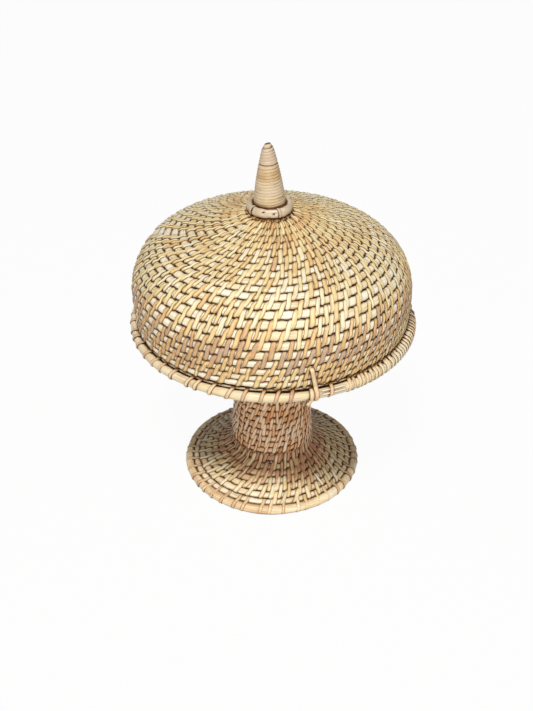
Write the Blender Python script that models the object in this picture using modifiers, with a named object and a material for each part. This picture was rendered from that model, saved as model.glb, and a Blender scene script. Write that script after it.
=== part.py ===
"""Pedestal basket of coiled rattan: a shallow tray on a hollow foot, with a domed lid tied to its rim.

Metres, +Z up. The origin is on the floor under the middle of the foot, and the tie is at -Y.
The walls are coiled work: one long cane laid in a spiral, each turn sewn to the turn before.
"""

import math

import bmesh
import bpy
import numpy as np
from mathutils import Vector

# What touches keeps this clearance
SEAT_GAP = 0.0003

# Foot
FOOT_RADIUS = 0.0925
FOOT_HOOP_RADIUS = 0.0043
FOOT_WALL = 0.0070
FOOT_ROW_HEIGHT = 0.0074
FOOT_SLOPE = math.radians(27)
FOOT_FILLET = 0.0120

# Stem
STEM_FOOT_RADIUS = 0.0423
STEM_WAIST_RADIUS = 0.0382
STEM_TOP_RADIUS = 0.0400
STEM_HEIGHT = 0.1194
STEM_WAIST_SHARE = 0.62
STEM_WALL = 0.0070
STEM_ROW_HEIGHT = 0.0080

# Tray
TRAY_FLOOR_MARGIN = 0.0060
TRAY_LEDGE_WIDTH = 0.0110
TRAY_DEPTH = 0.0182
TRAY_WALL = 0.0073
TRAY_ROW_HEIGHT = 0.0086
LID_SEAT_HOOP_RADIUS = 0.0030

# Rim
RIM_RADIUS = 0.1350
RIM_HOOP_RADIUS = 0.0043
RIM_HOOP_DROP = 0.0028
RIM_ROD_RADIUS = 0.0022
RIM_ROD_OFFSET = 0.0067
BINDING_WIDTH = 0.0034
BINDING_THICKNESS = 0.0006
BINDING_LEAN_SHARE = 0.2
BINDING_ANGLES = {
    "front": (math.radians(-94), math.radians(-196)),
    "back": (math.radians(-197.5), math.radians(-374)),
    "side": (math.radians(-376), math.radians(-434)),
}
BINDING_LOOPS = {"front": 15, "back": 20, "side": 15}
SPLICE_CANE_RADIUS = 0.0011
SPLICE_START = math.radians(-87)
SPLICE_END = math.radians(-76)
SPLICE_CANE_ANGLES = (math.radians(18), math.radians(58))

# Lid
LID_MOUTH_REACH = 0.0045
LID_BULGE = 0.0020
LID_WALL_HEIGHT = 0.0294
LID_SHOULDER_RADIUS = 0.0570
LID_CROWN_SLOPE = math.radians(18.5)
LID_TOP_RADIUS = 0.0180
LID_WALL = 0.0074
LID_ROW_HEIGHT = 0.0086
LID_PLAY = 0.0010

# Depth of the groove between two rows of cane
GROOVE = 0.0023

# Tie that hinges the lid
STRAP_WIDTH = 0.0034
STRAP_THICKNESS = 0.0006
STRAP_HOLE_ROWS = 2.3
STRAP_TAIL = 0.0080
STRAP_HOLE_CLEARANCE = 0.0005
STRAP_LAP_GAP = 0.0004
HINGE_AT = math.radians(-90)

# Finial and collar
FINIAL_HEIGHT = 0.0600
FINIAL_SEAM_SHARE = 0.585
FINIAL_BASE_RADIUS = 0.0149
FINIAL_FULLNESS = 1.2
FINIAL_TIP_RADIUS = 0.0042
FINIAL_STRIP_WIDTH = 0.0034
FINIAL_STRIP_THICKNESS = 0.0007
FINIAL_TURN_GAP = 0.0006
PEG_RADIUS = 0.0061
PEG_LENGTH_BELOW = 0.0060
COLLAR_PLAY = 0.0005
COLLAR_TUBE_RADIUS = 0.0030
COLLAR_TIE_WIDTH = 0.0030
COLLAR_TIE_THICKNESS = 0.0006
COLLAR_TIES = {"front": math.radians(-86), "left": math.radians(-160), "back": math.radians(55)}
COLLAR_TIE_START = math.radians(-22.5)
COLLAR_TIE_END = math.radians(112.5)
KNOT_TUBE_RADIUS = 0.0026

# How finely round shapes are cut: columns go round the basket, sides round a cane
WALL_COLUMNS = 32
LID_COLUMNS = 48
STEM_COLUMNS = 24
HOOP_COLUMNS = 48
FINIAL_COLUMNS = 16
FOOT_HOOP_SIDES = 10
HOOP_SIDES = 8
THIN_CANE_SIDES = 6
LINES_PER_ROW = 2
FOOT_LINING_LINES = 5
STEM_LINING_LINES = 4
TRAY_LINING_LINES = 10
LID_LINING_LINES = 9
PROFILE_STEPS = 160
LOOP_POINTS = 8
STRIP_CORNERS = 4
STRAP_TURN_POINTS = 16
FINIAL_CORE_STEPS = 6

# The bend past which shading shows an edge, on rows of cane and on round pieces
ROW_CREASE = math.radians(30)
ROUND_CREASE = math.radians(65)

# How far a cutter passes the wall it cuts, and the distance at which meeting vertices are one
CUT_OVERRUN = 0.0060
WELD = 0.000002

MM_PER_M = 1000

CREAM = (0.79, 0.67, 0.46)
STRAW = (0.72, 0.55, 0.32)
TAN = (0.66, 0.44, 0.21)
BROWN = (0.46, 0.33, 0.21)
GREY_BEIGE = (0.62, 0.52, 0.42)


def clear_scene():
    for thing in list(bpy.data.objects):
        bpy.data.objects.remove(thing, do_unlink=True)


def new_collection(name):
    collection = bpy.data.collections.new(name)
    bpy.context.scene.collection.children.link(collection)
    return collection


def in_mm(length):
    return round(length * MM_PER_M, 2)


def finish(thing, colour, roughness, pivot=None, crease=ROUND_CREASE):
    """Put a piece in the basket's collection, with its own material, and hang it on its pivot."""
    material = bpy.data.materials.new(thing.name + "_cane")
    material.use_nodes = True
    shader = material.node_tree.nodes["Principled BSDF"]
    shader.inputs["Base Color"].default_value = (*colour, 1)
    shader.inputs["Roughness"].default_value = roughness
    shader.inputs["Metallic"].default_value = 0
    thing.data.materials.append(material)
    for collection in list(thing.users_collection):
        collection.objects.unlink(thing)
    BASKET.objects.link(thing)
    if thing.type == "MESH":
        thing.data.shade_smooth()
        thing.data.set_sharp_from_angle(angle=crease)
    if pivot:
        thing.parent = pivot
        thing.matrix_parent_inverse = pivot.matrix_world.inverted()
    return thing


def mesh_object(name, bm):
    """Weld a bmesh's meeting vertices, turn its faces outwards, and make it an object."""
    bmesh.ops.remove_doubles(bm, verts=bm.verts, dist=WELD)
    bmesh.ops.delete(bm, geom=[edge for edge in bm.edges if edge.is_wire], context="EDGES")
    bmesh.ops.recalc_face_normals(bm, faces=bm.faces)
    mesh = bpy.data.meshes.new(name)
    bm.to_mesh(mesh)
    bm.free()
    return bpy.data.objects.new(name, mesh)


def mapped_grid(lines, columns, place):
    """A flat grid, two units wide, whose vertex on line i and column j is moved to place(i, j)."""
    bm = bmesh.new()
    bmesh.ops.create_grid(bm, x_segments=lines, y_segments=columns, size=1)
    for vertex in bm.verts:
        i = round((vertex.co.x + 1) / 2 * lines)
        j = round((vertex.co.y + 1) / 2 * columns)
        vertex.co = place(i, j)
    return bm


class Profile:
    """The outer line of a turned wall, measured along its length, with its outward normals."""

    def __init__(self, points):
        self.points = np.array(points)
        along = np.gradient(self.points, axis=0)
        along /= np.linalg.norm(along, axis=1)[:, None]
        self.normals = np.stack([along[:, 1], -along[:, 0]], axis=1)
        steps = np.linalg.norm(np.diff(self.points, axis=0), axis=1)
        self.marks = np.concatenate([[0], np.cumsum(steps)])
        self.length = float(self.marks[-1])

    def at(self, distance, lift=0):
        """Radius and height of the point this far along, lifted off the line by lift."""
        place = [np.interp(distance, self.marks, self.points[:, k]) for k in (0, 1)]
        normal = [np.interp(distance, self.marks, self.normals[:, k]) for k in (0, 1)]
        return max(place[0] + lift * normal[0], 0), place[1] + lift * normal[1]


def line_points(start, end):
    return [
        (start[0] + (end[0] - start[0]) * share, start[1] + (end[1] - start[1]) * share)
        for share in np.linspace(0, 1, PROFILE_STEPS)
    ]


def arc_points(centre, radius, start, end):
    return [
        (centre[0] + radius * math.cos(angle), centre[1] + radius * math.sin(angle))
        for angle in np.linspace(start, end, PROFILE_STEPS)
    ]


def joined(*runs):
    """Runs of points end to end, each next run without the point it shares."""
    points = list(runs[0])
    for run in runs[1:]:
        points += run[1:]
    return points


def polar(radius, angle, height):
    return Vector((radius * math.cos(angle), radius * math.sin(angle), height))


def coiled_wall(name, profile, row_height, wall, columns, lining_lines):
    """One closed body of coiled work: outside, a spiral of rounded rows; inside, a plain lining.

    The grid's lines run crest, groove, crest up the profile. Each climbs one row in a full turn, so
    the last column of a line meets the first column of the line two further on. Lines that would
    start before the profile or pass its end are held there, which tapers the cane's two ends.
    """
    rows = max(round(profile.length / row_height), 2)
    line_step = profile.length / rows / LINES_PER_ROW
    outer_last = (rows + 2) * LINES_PER_ROW
    lining_first = outer_last + 1
    close_line = lining_first + lining_lines + 1

    def outer_point(i, j):
        climbed = line_step * (i + (j / columns - 1) * LINES_PER_ROW)
        distance = min(max(climbed, 0), profile.length)
        is_crest = i % LINES_PER_ROW
        swell = min(1, distance / line_step, (profile.length - distance) / line_step) if is_crest else 0
        return profile.at(distance, GROOVE * (swell - 1))

    def place(i, j):
        if i <= outer_last:
            radius, height = outer_point(i, j)
        elif i < close_line:
            share = 1 - (i - lining_first) / lining_lines
            radius, height = profile.at(profile.length * share, -wall)
        else:
            radius, height = outer_point(0, j)
        return polar(radius, 2 * math.pi * j / columns, height)

    return mesh_object(name, mapped_grid(close_line, columns, place))


def hoop(name, radius, height, tube_radius, sides, columns):
    bpy.ops.mesh.primitive_torus_add(
        major_segments=columns,
        minor_segments=sides,
        major_radius=radius,
        minor_radius=tube_radius,
        location=(0, 0, height),
    )
    thing = bpy.context.object
    thing.name = name
    return thing


def half_height(radius, sides):
    """How far a round of this many sides reaches up from its middle, with a vertex at its side."""
    return radius if sides % 4 == 0 else radius * math.cos(math.pi / sides)


def strip_normals(path, side):
    """Normals across a path in one plane, stretched at its corners to keep the strip's thickness."""
    normals = []
    for k in range(len(path)):
        ways = [path[n + 1] - path[n] for n in (k - 1, k) if 0 <= n < len(path) - 1]
        sides = [way.cross(side).normalized() for way in ways]
        middle = sum(sides, Vector((0, 0, 0))).normalized()
        normals.append(middle / middle.dot(sides[0]))
    return normals


def strip(name, path, normals, acrosses, width, thickness):
    """A flat peel strip: four corners carried along a path, with its two ends closed."""

    def place(i, j):
        corner = i % STRIP_CORNERS
        across = acrosses[j] * (width / 2 if corner in (0, 3) else -width / 2)
        lift = normals[j] * (thickness if corner in (2, 3) else 0)
        return path[j] + across + lift

    bm = mapped_grid(STRIP_CORNERS, len(path) - 1, place)
    bmesh.ops.remove_doubles(bm, verts=bm.verts, dist=WELD)
    bmesh.ops.holes_fill(bm, edges=[edge for edge in bm.edges if edge.is_boundary], sides=STRIP_CORNERS)
    return mesh_object(name, bm)


def least_gap(path, loop_points, width):
    """The least clear distance between a wound strip's turns, measured on its points."""
    places = np.array([tuple(point) for point in path])
    gap = math.inf
    for k in range(len(places) - loop_points // 2):
        apart = np.linalg.norm(places[k + loop_points // 2 + 1:] - places[k], axis=1)
        gap = min([gap, *(apart - width)])
    return gap


def foot_profile(start):
    """From the foot hoop up the flare, then through a fillet into the upright stem."""
    outwards = FOOT_SLOPE
    run = (start[0] - STEM_FOOT_RADIUS) / math.cos(outwards)
    tangent = FOOT_FILLET * math.tan((math.pi / 2 - outwards) / 2)
    flare = run - tangent
    bend = (start[0] - flare * math.cos(outwards), start[1] + flare * math.sin(outwards))
    centre = (STEM_FOOT_RADIUS + FOOT_FILLET, start[1] + run * math.sin(outwards) + tangent)
    turned = arc_points(centre, FOOT_FILLET, math.pi * 1.5 - outwards, math.pi)
    return Profile(joined(line_points(start, bend), turned))


def stem_profile(bottom):
    """A gentle waist: widest at the foot, narrowest at the waist, a little wider under the tray."""
    points = []
    for share in np.linspace(0, 1, PROFILE_STEPS):
        below = share < STEM_WAIST_SHARE
        end_radius = STEM_FOOT_RADIUS if below else STEM_TOP_RADIUS
        reach = (STEM_WAIST_SHARE - share) / (STEM_WAIST_SHARE if below else STEM_WAIST_SHARE - 1)
        swell = (1 - math.cos(math.pi * reach)) / 2
        radius = STEM_WAIST_RADIUS + (end_radius - STEM_WAIST_RADIUS) * swell
        points.append((radius, bottom + STEM_HEIGHT * share))
    return Profile(points)


def tray_profile(floor_top):
    """The tray's upper side from its rim to its middle: a ledge, a dished slope and a flat floor."""
    ledge_inner = TRAY_RADIUS - TRAY_LEDGE_WIDTH
    slope = []
    for share in np.linspace(0, 1, PROFILE_STEPS):
        radius = ledge_inner + (TRAY_FLOOR_RADIUS - ledge_inner) * share
        slope.append((radius, floor_top + TRAY_DEPTH * (1 + math.cos(math.pi * share)) / 2))
    rim = floor_top + TRAY_DEPTH
    ledge = line_points((TRAY_RADIUS, rim), (ledge_inner, rim))
    floor = line_points((TRAY_FLOOR_RADIUS, floor_top), (0, floor_top))
    return Profile(joined(ledge, slope, floor))


def lid_profile(mouth):
    """From the mouth up the wall, round the shoulder, up the straight crown and level at the peg."""
    shoulder = mouth + LID_WALL_HEIGHT
    wall = []
    for share in np.linspace(0, 1, PROFILE_STEPS):
        radius = LID_RADIUS - (LID_RADIUS - LID_MOUTH_RADIUS) * (1 - share) ** 2
        wall.append((radius, mouth + LID_WALL_HEIGHT * share))
    centre = (LID_RADIUS - LID_SHOULDER_RADIUS, shoulder)
    round_part = arc_points(centre, LID_SHOULDER_RADIUS, 0, math.pi / 2 - LID_CROWN_SLOPE)
    start = round_part[-1]
    hole = PEG_RADIUS + SEAT_GAP
    flat_start = hole + LID_TOP_RADIUS * math.sin(LID_CROWN_SLOPE)
    flat_height = start[1] + (start[0] - flat_start) * math.tan(LID_CROWN_SLOPE)
    centre = (hole, flat_height - LID_TOP_RADIUS * math.cos(LID_CROWN_SLOPE))
    top = arc_points(centre, LID_TOP_RADIUS, math.pi / 2 - LID_CROWN_SLOPE, math.pi / 2)
    return Profile(joined(wall, round_part, line_points(start, (flat_start, flat_height)), top))


def radius_at(profile, height):
    """The profile's radius at a height on its upright part."""
    return float(np.interp(height, profile.points[:, 1], profile.points[:, 0]))


def height_at(profile, radius):
    """The profile's height where its radius has shrunk to this."""
    return float(np.interp(-radius, -profile.points[:, 0], profile.points[:, 1]))


# Sizes and places that follow, from the floor up
TRAY_RADIUS = RIM_RADIUS - RIM_HOOP_RADIUS - 2 * BINDING_THICKNESS - 2 * SEAT_GAP - STRAP_LAP_GAP
FOOT_HOOP_HEIGHT = half_height(FOOT_HOOP_RADIUS, FOOT_HOOP_SIDES)
FOOT_HOOP_MIDDLE = FOOT_RADIUS - FOOT_HOOP_RADIUS
FOOT_LIFT = FOOT_HOOP_RADIUS + SEAT_GAP
FOOT_START = (
    FOOT_HOOP_MIDDLE - FOOT_LIFT * math.cos(FOOT_SLOPE) + FOOT_WALL / 2 * math.sin(FOOT_SLOPE),
    FOOT_HOOP_HEIGHT + FOOT_LIFT * math.sin(FOOT_SLOPE) + FOOT_WALL / 2 * math.cos(FOOT_SLOPE),
)
FOOT = foot_profile(FOOT_START)
STEM_BOTTOM = float(FOOT.points[-1][1]) + SEAT_GAP
STEM = stem_profile(STEM_BOTTOM)
TRAY_FLOOR_RADIUS = STEM_TOP_RADIUS + TRAY_FLOOR_MARGIN
TRAY_FLOOR_TOP = STEM_BOTTOM + STEM_HEIGHT + SEAT_GAP + TRAY_WALL
TRAY = tray_profile(TRAY_FLOOR_TOP)
RIM_TOP = TRAY_FLOOR_TOP + TRAY_DEPTH
RIM_HEIGHT = RIM_TOP - RIM_HOOP_DROP
RIM_ROD_MIDDLE = RIM_RADIUS - RIM_ROD_OFFSET
RIM_ROD_HEIGHT = RIM_TOP + SEAT_GAP + RIM_ROD_RADIUS
LID_MOUTH_RADIUS = RIM_ROD_MIDDLE + LID_MOUTH_REACH
LID_RADIUS = LID_MOUTH_RADIUS + LID_BULGE
LID_MOUTH = RIM_ROD_HEIGHT + RIM_ROD_RADIUS + SEAT_GAP
LID = lid_profile(LID_MOUTH)
LID_ROWS = max(round(LID.length / LID_ROW_HEIGHT), 2)
CROWN_TOP = float(LID.points[-1][1])
COLLAR_RADIUS = FINIAL_BASE_RADIUS + COLLAR_PLAY + COLLAR_TUBE_RADIUS


def make_foot():
    radius, height = FOOT_HOOP_MIDDLE, FOOT_HOOP_HEIGHT
    edge = hoop("foot_hoop", radius, height, FOOT_HOOP_RADIUS, FOOT_HOOP_SIDES, WALL_COLUMNS)
    finish(edge, CREAM, 0.6)
    wall = coiled_wall("foot_wall", FOOT, FOOT_ROW_HEIGHT, FOOT_WALL, WALL_COLUMNS, FOOT_LINING_LINES)
    finish(wall, CREAM, 0.6, crease=ROW_CREASE)


def make_stem():
    wall = coiled_wall("stem_wall", STEM, STEM_ROW_HEIGHT, STEM_WALL, STEM_COLUMNS, STEM_LINING_LINES)
    finish(wall, BROWN, 0.65, crease=ROW_CREASE)


def make_tray():
    bowl = coiled_wall("tray_bowl", TRAY, TRAY_ROW_HEIGHT, TRAY_WALL, WALL_COLUMNS, TRAY_LINING_LINES)
    finish(bowl, STRAW, 0.6, crease=ROW_CREASE)
    inside_lid = LID_MOUTH_RADIUS - LID_WALL - LID_PLAY
    height = RIM_TOP + SEAT_GAP + half_height(LID_SEAT_HOOP_RADIUS, THIN_CANE_SIDES)
    radius = inside_lid - LID_SEAT_HOOP_RADIUS
    seat = hoop("lid_seat_hoop", radius, height, LID_SEAT_HOOP_RADIUS, THIN_CANE_SIDES, WALL_COLUMNS)
    finish(seat, STRAW, 0.6)


def make_rim():
    pole = hoop("rim_hoop", RIM_RADIUS, RIM_HEIGHT, RIM_HOOP_RADIUS, HOOP_SIDES, HOOP_COLUMNS)
    finish(pole, CREAM, 0.5)
    rod = hoop("rim_rod", RIM_ROD_MIDDLE, RIM_ROD_HEIGHT, RIM_ROD_RADIUS, THIN_CANE_SIDES, HOOP_COLUMNS)
    finish(rod, TAN, 0.5)
    for label, angle in zip(("lower", "upper"), SPLICE_CANE_ANGLES):
        make_splice_cane("rim_splice_cane_" + label, angle)
    for label, (start, end) in BINDING_ANGLES.items():
        make_binding("rim_binding_" + label, start, end, BINDING_LOOPS[label])


def make_splice_cane(name, angle):
    """A thin cane that lies along the rim hoop, at this angle round the hoop's section."""
    offset = RIM_HOOP_RADIUS + SEAT_GAP + SPLICE_CANE_RADIUS
    curve = bpy.data.curves.new(name, "CURVE")
    curve.dimensions = "3D"
    curve.bevel_depth = SPLICE_CANE_RADIUS
    curve.bevel_resolution = 1
    curve.use_fill_caps = True
    spline = curve.splines.new("POLY")
    turns = np.linspace(SPLICE_START, SPLICE_END, LOOP_POINTS)
    spline.points.add(len(turns) - 1)
    for point, turn in zip(spline.points, turns):
        place = polar(RIM_RADIUS + offset * math.cos(angle), turn, RIM_HEIGHT + offset * math.sin(angle))
        point.co = (*place, 1)
    finish(bpy.data.objects.new(name, curve), CREAM, 0.5)


def binding_path(start, end, loops):
    """Points of a strip wound round the rim hoop, with its section normals.

    Over the hoop's outer half each turn moves only a little along the rim, so it leans slightly. The
    rest of its advance lies on the hidden inner half.
    """
    inner = (RIM_HOOP_RADIUS + SEAT_GAP) / math.cos(math.pi / LOOP_POINTS)
    path, normals = [], []
    for k in range(loops * LOOP_POINTS + 1):
        turn, step = divmod(k, LOOP_POINTS)
        share = step / LOOP_POINTS
        if share < 0.5:
            advance = BINDING_LEAN_SHARE * share * 2
        else:
            advance = BINDING_LEAN_SHARE + (1 - BINDING_LEAN_SHARE) * (share * 2 - 1)
        along = start + (end - start) * (turn + advance) / loops
        around = math.pi / 2 - 2 * math.pi * share
        normal = polar(math.cos(around), along, math.sin(around))
        path.append(polar(RIM_RADIUS, along, RIM_HEIGHT) + normal * inner)
        normals.append(normal)
    return path, normals


def make_binding(name, start, end, loops):
    path, normals = binding_path(start, end, loops)
    acrosses = [Vector((point.y, -point.x, 0)).normalized() for point in path]
    thing = strip(name, path, normals, acrosses, BINDING_WIDTH, BINDING_THICKNESS)
    print(name, "least gap to itself, mm", in_mm(least_gap(path, LOOP_POINTS, BINDING_WIDTH)))
    finish(thing, TAN, 0.5)


def make_lid(pivot):
    wall = coiled_wall("lid_wall", LID, LID_ROW_HEIGHT, LID_WALL, LID_COLUMNS, LID_LINING_LINES)
    finish(wall, STRAW, 0.6, pivot, ROW_CREASE)
    hole_height = LID_MOUTH + STRAP_HOLE_ROWS * LID.length / LID_ROWS
    cut_strap_hole(wall, hole_height)
    make_strap(hole_height, pivot)


def cut_strap_hole(wall, height):
    """The slot between two rows through which the tie enters the lid."""
    depth = LID_WALL + 2 * CUT_OVERRUN
    bm = bmesh.new()
    bmesh.ops.create_cube(bm, size=1)
    cutter = mesh_object("strap_hole_cutter", bm)
    size = (STRAP_WIDTH + 2 * STRAP_HOLE_CLEARANCE, depth, STRAP_THICKNESS + 2 * STRAP_HOLE_CLEARANCE)
    cutter.scale = size
    middle = radius_at(LID, height) - LID_WALL / 2
    cutter.location = polar(middle, HINGE_AT, height + STRAP_THICKNESS / 2)
    cutter.hide_render = True
    cutter.display_type = "WIRE"
    CUTTERS.objects.link(cutter)
    cut = wall.modifiers.new("strap hole", "BOOLEAN")
    cut.operation = "DIFFERENCE"
    cut.object = cutter


def make_strap(hole_height, pivot):
    """The tie: a tail inside the lid, out through the hole, down the wall and once round the rim hoop."""
    inside = radius_at(LID, hole_height - STRAP_TAIL) - LID_WALL - 2 * SEAT_GAP
    outside = radius_at(LID, hole_height) + 2 * SEAT_GAP
    mouth_outside = LID_MOUTH_RADIUS + 2 * SEAT_GAP
    first = RIM_HOOP_RADIUS + 2 * SEAT_GAP
    lap = first + STRAP_THICKNESS + STRAP_LAP_GAP
    flat = [
        (inside, hole_height - STRAP_TAIL),
        (inside, hole_height),
        (outside, hole_height),
        (mouth_outside, LID_MOUTH),
    ]
    for k in range(STRAP_TURN_POINTS + 1):
        share = k / STRAP_TURN_POINTS
        reach = lap + (first - lap) * share
        angle = 2 * math.pi * share
        flat.append((RIM_RADIUS + reach * math.cos(angle), RIM_HEIGHT - reach * math.sin(angle)))
    path = [polar(radius, HINGE_AT, height) for radius, height in flat]
    side = Vector((1, 0, 0))
    normals = strip_normals(path, side)
    acrosses = [side] * len(path)
    thing = strip("hinge_strap", path, normals, acrosses, STRAP_WIDTH, STRAP_THICKNESS)
    finish(thing, STRAW, 0.5, pivot)


def make_finial(pivot):
    base = CROWN_TOP + SEAT_GAP
    under = CROWN_TOP - LID_WALL - PEG_LENGTH_BELOW
    side = [
        (finial_core_radius(share) - SEAT_GAP, base + FINIAL_HEIGHT * share)
        for share in np.linspace(1, 0, FINIAL_CORE_STEPS + 1)
    ]
    outline = [(0, side[0][1]), *side, (PEG_RADIUS, base), (PEG_RADIUS, under), (0, under)]
    finish(turned("finial_core", outline, FINIAL_COLUMNS), TAN, 0.6, pivot)
    seam = base + FINIAL_HEIGHT * FINIAL_SEAM_SHARE
    make_winding("finial_winding_lower", base + FINIAL_TURN_GAP, seam, STRAW, pivot)
    make_winding("finial_winding_upper", seam + FINIAL_TURN_GAP, base + FINIAL_HEIGHT, CREAM, pivot)


def turned(name, outline, columns):
    """A closed turned body from an outline that runs down its outer side."""
    bm = bmesh.new()
    points = [bm.verts.new((radius, 0, height)) for radius, height in outline]
    for first, second in zip(points, points[1:]):
        bm.edges.new((first, second))
    mesh = bpy.data.meshes.new(name)
    bm.to_mesh(mesh)
    bm.free()
    thing = bpy.data.objects.new(name, mesh)
    screw = thing.modifiers.new("turn", "SCREW")
    screw.steps = columns
    screw.render_steps = columns
    screw.use_merge_vertices = True
    screw.merge_threshold = WELD
    return thing


def finial_core_radius(height_share):
    """The radius on which the strip lies. A fullness of 1 gives a straight cone, and more a fuller one."""
    outer = FINIAL_TIP_RADIUS + (FINIAL_BASE_RADIUS - FINIAL_TIP_RADIUS) * (1 - height_share**FINIAL_FULLNESS)
    return outer - FINIAL_STRIP_THICKNESS


def make_winding(name, bottom, top, colour, pivot):
    """A peel strip wound up the tapered core, from its lower edge at bottom to its upper edge at top."""
    base = CROWN_TOP + SEAT_GAP
    climb = top - bottom - FINIAL_STRIP_WIDTH
    pitch = FINIAL_STRIP_WIDTH + FINIAL_TURN_GAP
    steps = round(climb / pitch * FINIAL_COLUMNS)
    path, normals, acrosses = [], [], []
    for k in range(steps + 1):
        height = bottom + FINIAL_STRIP_WIDTH / 2 + climb * k / steps
        angle = 2 * math.pi * k / FINIAL_COLUMNS
        share = (height - base) / FINIAL_HEIGHT
        steepness = FINIAL_FULLNESS * share ** (FINIAL_FULLNESS - 1)
        taper = math.atan2(steepness * (FINIAL_BASE_RADIUS - FINIAL_TIP_RADIUS), FINIAL_HEIGHT)
        radius = finial_core_radius(share)
        path.append(polar(radius, angle, height))
        normals.append(polar(math.cos(taper), angle, math.sin(taper)))
        acrosses.append(polar(-math.sin(taper), angle, math.cos(taper)))
    thing = strip(name, path, normals, acrosses, FINIAL_STRIP_WIDTH, FINIAL_STRIP_THICKNESS)
    print(name, "least gap to itself, mm", in_mm(least_gap(path, FINIAL_COLUMNS, FINIAL_STRIP_WIDTH)))
    finish(thing, colour, 0.5, pivot)


def make_collar(pivot):
    """The ring round the finial's base, the ties over it and the knot under the crown."""
    lift = COLLAR_TUBE_RADIUS + SEAT_GAP
    under = COLLAR_RADIUS + lift * math.sin(LID_CROWN_SLOPE)
    height = height_at(LID, COLLAR_RADIUS) + lift / math.cos(LID_CROWN_SLOPE)
    ring = hoop("collar_ring", COLLAR_RADIUS, height, COLLAR_TUBE_RADIUS, HOOP_SIDES, WALL_COLUMNS)
    finish(ring, GREY_BEIGE, 0.6, pivot)
    for label, turn in COLLAR_TIES.items():
        make_collar_tie("collar_tie_" + label, turn, height, pivot)
    knot_radius = PEG_RADIUS + SEAT_GAP + KNOT_TUBE_RADIUS
    below = LID_WALL / math.cos(LID_CROWN_SLOPE) + KNOT_TUBE_RADIUS + SEAT_GAP
    knot_height = height_at(LID, knot_radius + KNOT_TUBE_RADIUS) - below
    knot = hoop("finial_knot", knot_radius, knot_height, KNOT_TUBE_RADIUS, HOOP_SIDES, FINIAL_COLUMNS)
    finish(knot, STRAW, 0.6, pivot)


def make_collar_tie(name, turn, height, pivot):
    """A stitch that hugs the collar from its outer side over its top."""
    reach = (COLLAR_TUBE_RADIUS + SEAT_GAP) / math.cos(math.pi / LOOP_POINTS)
    path, normals = [], []
    for angle in np.linspace(COLLAR_TIE_START, COLLAR_TIE_END, LOOP_POINTS - 1):
        normal = polar(math.cos(angle), turn, math.sin(angle))
        path.append(polar(COLLAR_RADIUS, turn, height) + normal * reach)
        normals.append(normal)
    across = Vector((-math.sin(turn), math.cos(turn), 0))
    thing = strip(name, path, normals, [across] * len(path), COLLAR_TIE_WIDTH, COLLAR_TIE_THICKNESS)
    finish(thing, TAN, 0.6, pivot)


def lid_pivot():
    """The empty on the hinge's axis, along X through the rim hoop's middle at the tie."""
    pivot = bpy.data.objects.new("lid_hinge_axis", None)
    pivot.location = polar(RIM_RADIUS, HINGE_AT, RIM_HEIGHT)
    BASKET.objects.link(pivot)
    bpy.context.view_layer.update()
    return pivot


clear_scene()
BASKET = new_collection("pedestal_basket")
CUTTERS = new_collection("cutters")
make_foot()
make_stem()
make_tray()
make_rim()
hinge = lid_pivot()
make_lid(hinge)
make_finial(hinge)
make_collar(hinge)
print("rim height, mm", in_mm(RIM_HEIGHT), "lid mouth, mm", in_mm(LID_MOUTH))
print("crown, mm", in_mm(CROWN_TOP), "rows in the lid", LID_ROWS)
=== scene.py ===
# %% [markdown]
# A pedestal basket of coiled rattan, dressed in Blender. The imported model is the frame: it fixes where
# every wall, hoop and joint is. This script makes the surfaces that a hand would feel, in metres: the
# cane coils, the peel strands that sew them together, the lashed rim, the tie and the wound finial.

# %% Load the frame
import math

import bmesh
import bpy
import numpy as np
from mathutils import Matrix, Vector


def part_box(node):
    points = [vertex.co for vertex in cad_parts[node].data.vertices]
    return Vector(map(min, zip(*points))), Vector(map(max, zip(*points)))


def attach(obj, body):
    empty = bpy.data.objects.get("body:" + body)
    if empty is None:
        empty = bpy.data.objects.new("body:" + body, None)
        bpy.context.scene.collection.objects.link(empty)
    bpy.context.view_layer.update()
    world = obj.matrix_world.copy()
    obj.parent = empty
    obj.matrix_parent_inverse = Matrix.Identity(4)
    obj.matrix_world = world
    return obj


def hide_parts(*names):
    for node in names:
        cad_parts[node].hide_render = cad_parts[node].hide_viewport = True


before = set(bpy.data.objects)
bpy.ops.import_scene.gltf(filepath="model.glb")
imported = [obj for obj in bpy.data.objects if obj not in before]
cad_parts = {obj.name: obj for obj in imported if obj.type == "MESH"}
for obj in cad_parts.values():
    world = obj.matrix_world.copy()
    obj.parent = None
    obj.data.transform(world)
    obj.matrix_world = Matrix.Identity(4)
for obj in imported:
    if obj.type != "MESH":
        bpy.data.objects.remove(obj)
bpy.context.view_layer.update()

LID, STAND = "lid", "pedestal"
TURN = 2 * math.pi

# %% [markdown]
# The camera stands where the photographer stood: a little above the basket, just over a metre away
# and sixteen degrees to the left of the tie. The picture is taller than wide, so the lens is worked
# out from its long side. It comes first because every later choice is looked at through it.

# %% Camera
PICTURE_LONG_SIDE = 711
FOCAL_PIXELS = 1037.5
SENSOR = 36.0
AXIS_PIXELS_RIGHT = 5.4
VIEW_AZIMUTH = math.radians(-106)
VIEW_ELEVATION = math.radians(34.37)
VIEW_DISTANCE = 1.050
AIM_HEIGHT = 0.1341


def placed(name, data):
    thing = bpy.data.objects.new(name, data)
    bpy.context.scene.collection.objects.link(thing)
    return thing


def looking(name, data, azimuth, elevation, distance):
    """A camera or lamp this far from the basket's middle, turned to look at it."""
    flat = math.cos(elevation)
    toward = Vector((flat * math.cos(azimuth), flat * math.sin(azimuth), math.sin(elevation)))
    thing = placed(name, data)
    thing.location = Vector((0, 0, AIM_HEIGHT)) + toward * distance
    thing.rotation_euler = toward.to_track_quat("Z", "Y").to_euler()
    return thing


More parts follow.
